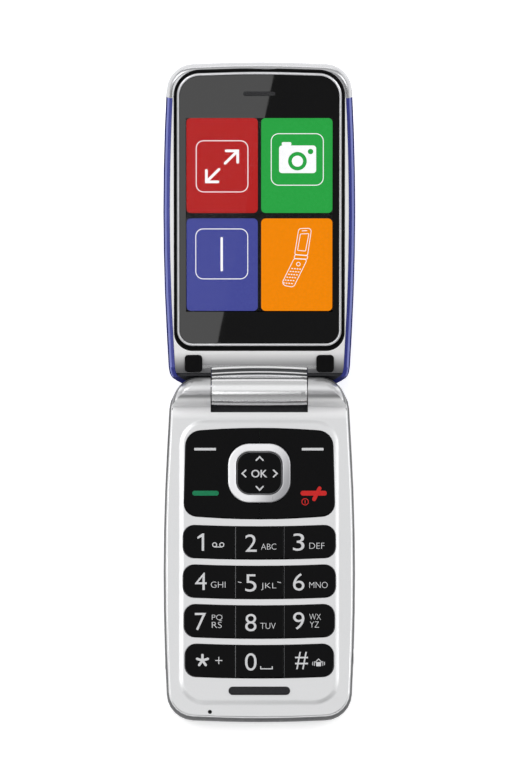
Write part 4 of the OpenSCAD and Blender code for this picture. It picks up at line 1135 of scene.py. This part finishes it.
def camera_icon(bm):
    """Body of a camera with its finder."""
    plate(bm, box_corners(5.8, 65.0, 16.7, 73.2, 0.9), *ICON_N)
    plate(bm, box_corners(6.6, 73.1, 9.4, 74.2, 0.4), *ICON_N)


def flip_icon(bm):
    """Line drawing of an open flip phone."""
    lid = [(11.6, 48.5, 0.9), (10.4, 40.8, 0.5), (14.2, 40.5, 0.5), (15.4, 48.6, 0.9)]
    screen = [(12.1, 46.9, 0.2), (11.25, 42.0, 0.2), (13.6, 41.8, 0.2), (14.6, 47.0, 0.2)]
    hinge = [(10.5, 40.7, 0.3), (10.2, 39.6, 0.3), (14.1, 39.4, 0.3), (14.3, 40.4, 0.3)]
    base = [(10.2, 39.5, 0.5), (6.4, 31.7, 1.1), (10.1, 31.0, 1.1), (14.1, 39.3, 0.5)]
    for corners in (lid, screen, hinge, base):
        ribbon(bm, outline(corners, 0, 5), THIN_LINE, *ICON_N, closed=True)
    ribbon(bm, [(12.6, 47.8), (14.0, 47.9)], 0.2, *ICON_N)
    annulus(bm, 11.5, 37.9, 0.55, THIN_LINE, *ICON_N, 12)
    for row in range(6):
        for col in range(4):
            x, y = 9.7 + 0.78 * col - 0.49 * row, 36.6 - 0.86 * row - 0.06 * col
            ribbon(bm, [(x - 0.14, y), (x + 0.14, y - 0.01)], 0.26, *ICON_N)


# ---------------- build


def dress_nodes():
    """Gives every CAD node that is still shown the finish of its slot."""
    for name, holder in NODES.items():
        if not holder.hide_render:
            for place in holder.material_slots:
                place.link = "OBJECT"
                place.material = SLOT_FINISH[slot_of(name)]


base_shells()
number_keys()
function_plates()
four_way_pad()
lid_shells()
window()
display_tiles()
dress_nodes()

# ---------------- studio

# Half width of the floor and its drop below the phone, in metres
FLOOR_SIZE = 4.0
FLOOR_DROP = 0.02 * MM
# Lights: name, place, target, size, radiance and turn in degrees
LIGHTS = (
    ("key_light", (-1.0, 0.65, 1.25), (0, 0.03, 0), (1.1, 1.1), 1.9, 0.0),
    ("fill_light", (1.1, 0.3, 1.1), (0, 0.05, 0), (0.8, 0.8), 1.9, 0.0),
    ("horizon_light", (0.0, 1.6, 0.25), (0, 0.05, 0), (1.6, 0.35), 1.4, 0.0),
    ("pane_light", (-0.1523, -0.4520, 1.0971), (-0.1528, 0.0301, 0.2210), (0.3, 0.4), 1.7, -11.9),
)
# Brightness of the surround by its direction's Y, from the keypad's side to behind the lid
SKY = [(-1.0, 0.5), (-0.88, 0.36), (-0.74, 0.2), (-0.31, 0.2), (-0.04, 0.95), (0.5, 0.95), (0.72, 0.5),
       (0.9, 0.55), (1.0, 0.85)]
# Camera: lens and sensor in millimetres, degrees above the floor, metres from its aim, and the aim
CAMERA_LENS = 397
CAMERA_SENSOR = 36
CAMERA_RISE = 80
CAMERA_AWAY = 2.5
CAMERA_AIM = (-1.12 * MM, (HINGE_Y + 2.04) * MM, (HINGE_Z + 0.36) * MM)


def floor():
    """White floor, a hair below the phone."""
    bm = bmesh.new()
    bmesh.ops.create_grid(bm, x_segments=1, y_segments=1, size=FLOOR_SIZE)
    white = finish("floor_white", (252, 252, 252), (254, 254, 254), (0.8, 0.9), scale=40, specular=0.1,
                   glow=0.5)
    made = solid("floor", bm, [white])
    made.location.z = -FLOOR_DROP


def softbox(name, spot, target, size, radiance, turn):
    """Area light whose face has the given radiance."""
    light = bpy.data.lights.new(name, "AREA")
    light.shape = "RECTANGLE"
    light.size, light.size_y = size
    light.energy = radiance * math.pi * size[0] * size[1]
    made = bpy.data.objects.new(name, light)
    made.location = spot
    aim = (Vector(target) - Vector(spot)).to_track_quat("-Z", "Y")
    made.rotation_mode = "QUATERNION"
    made.rotation_quaternion = aim @ Matrix.Rotation(math.radians(turn), 3, "Z").to_quaternion()
    link(made)


def sky():
    """Pale surround, dim over the keypad's side."""
    world = bpy.data.worlds.new("studio")
    world.use_nodes = True
    tree = world.node_tree
    axes = node(tree, "SeparateXYZ", [(node(tree, "TexCoord").outputs["Generated"], "Vector")])
    along = remap(tree, axes.outputs["Y"], source=(-1.0, 1.0))
    shades = ramp(tree, along, [((y + 1) / 2, light) for y, light in SKY])
    tree.links.new(shades, tree.nodes["Background"].inputs["Color"])
    bpy.context.scene.world = world


def camera():
    """Long lens, high over the keypad's end."""
    lens = bpy.data.cameras.new("camera")
    lens.lens = CAMERA_LENS
    lens.sensor_width = CAMERA_SENSOR
    made = bpy.data.objects.new("camera", lens)
    rise = math.radians(CAMERA_RISE)
    back = Vector((0, -math.cos(rise), math.sin(rise)))
    made.location = Vector(CAMERA_AIM) + back * CAMERA_AWAY
    made.rotation_mode = "QUATERNION"
    made.rotation_quaternion = (-back).to_track_quat("-Z", "Y")
    link(made)
    bpy.context.scene.camera = made


floor()
sky()
for light in LIGHTS:
    softbox(*light)
camera()
bpy.context.scene.view_settings.view_transform = "Standard"
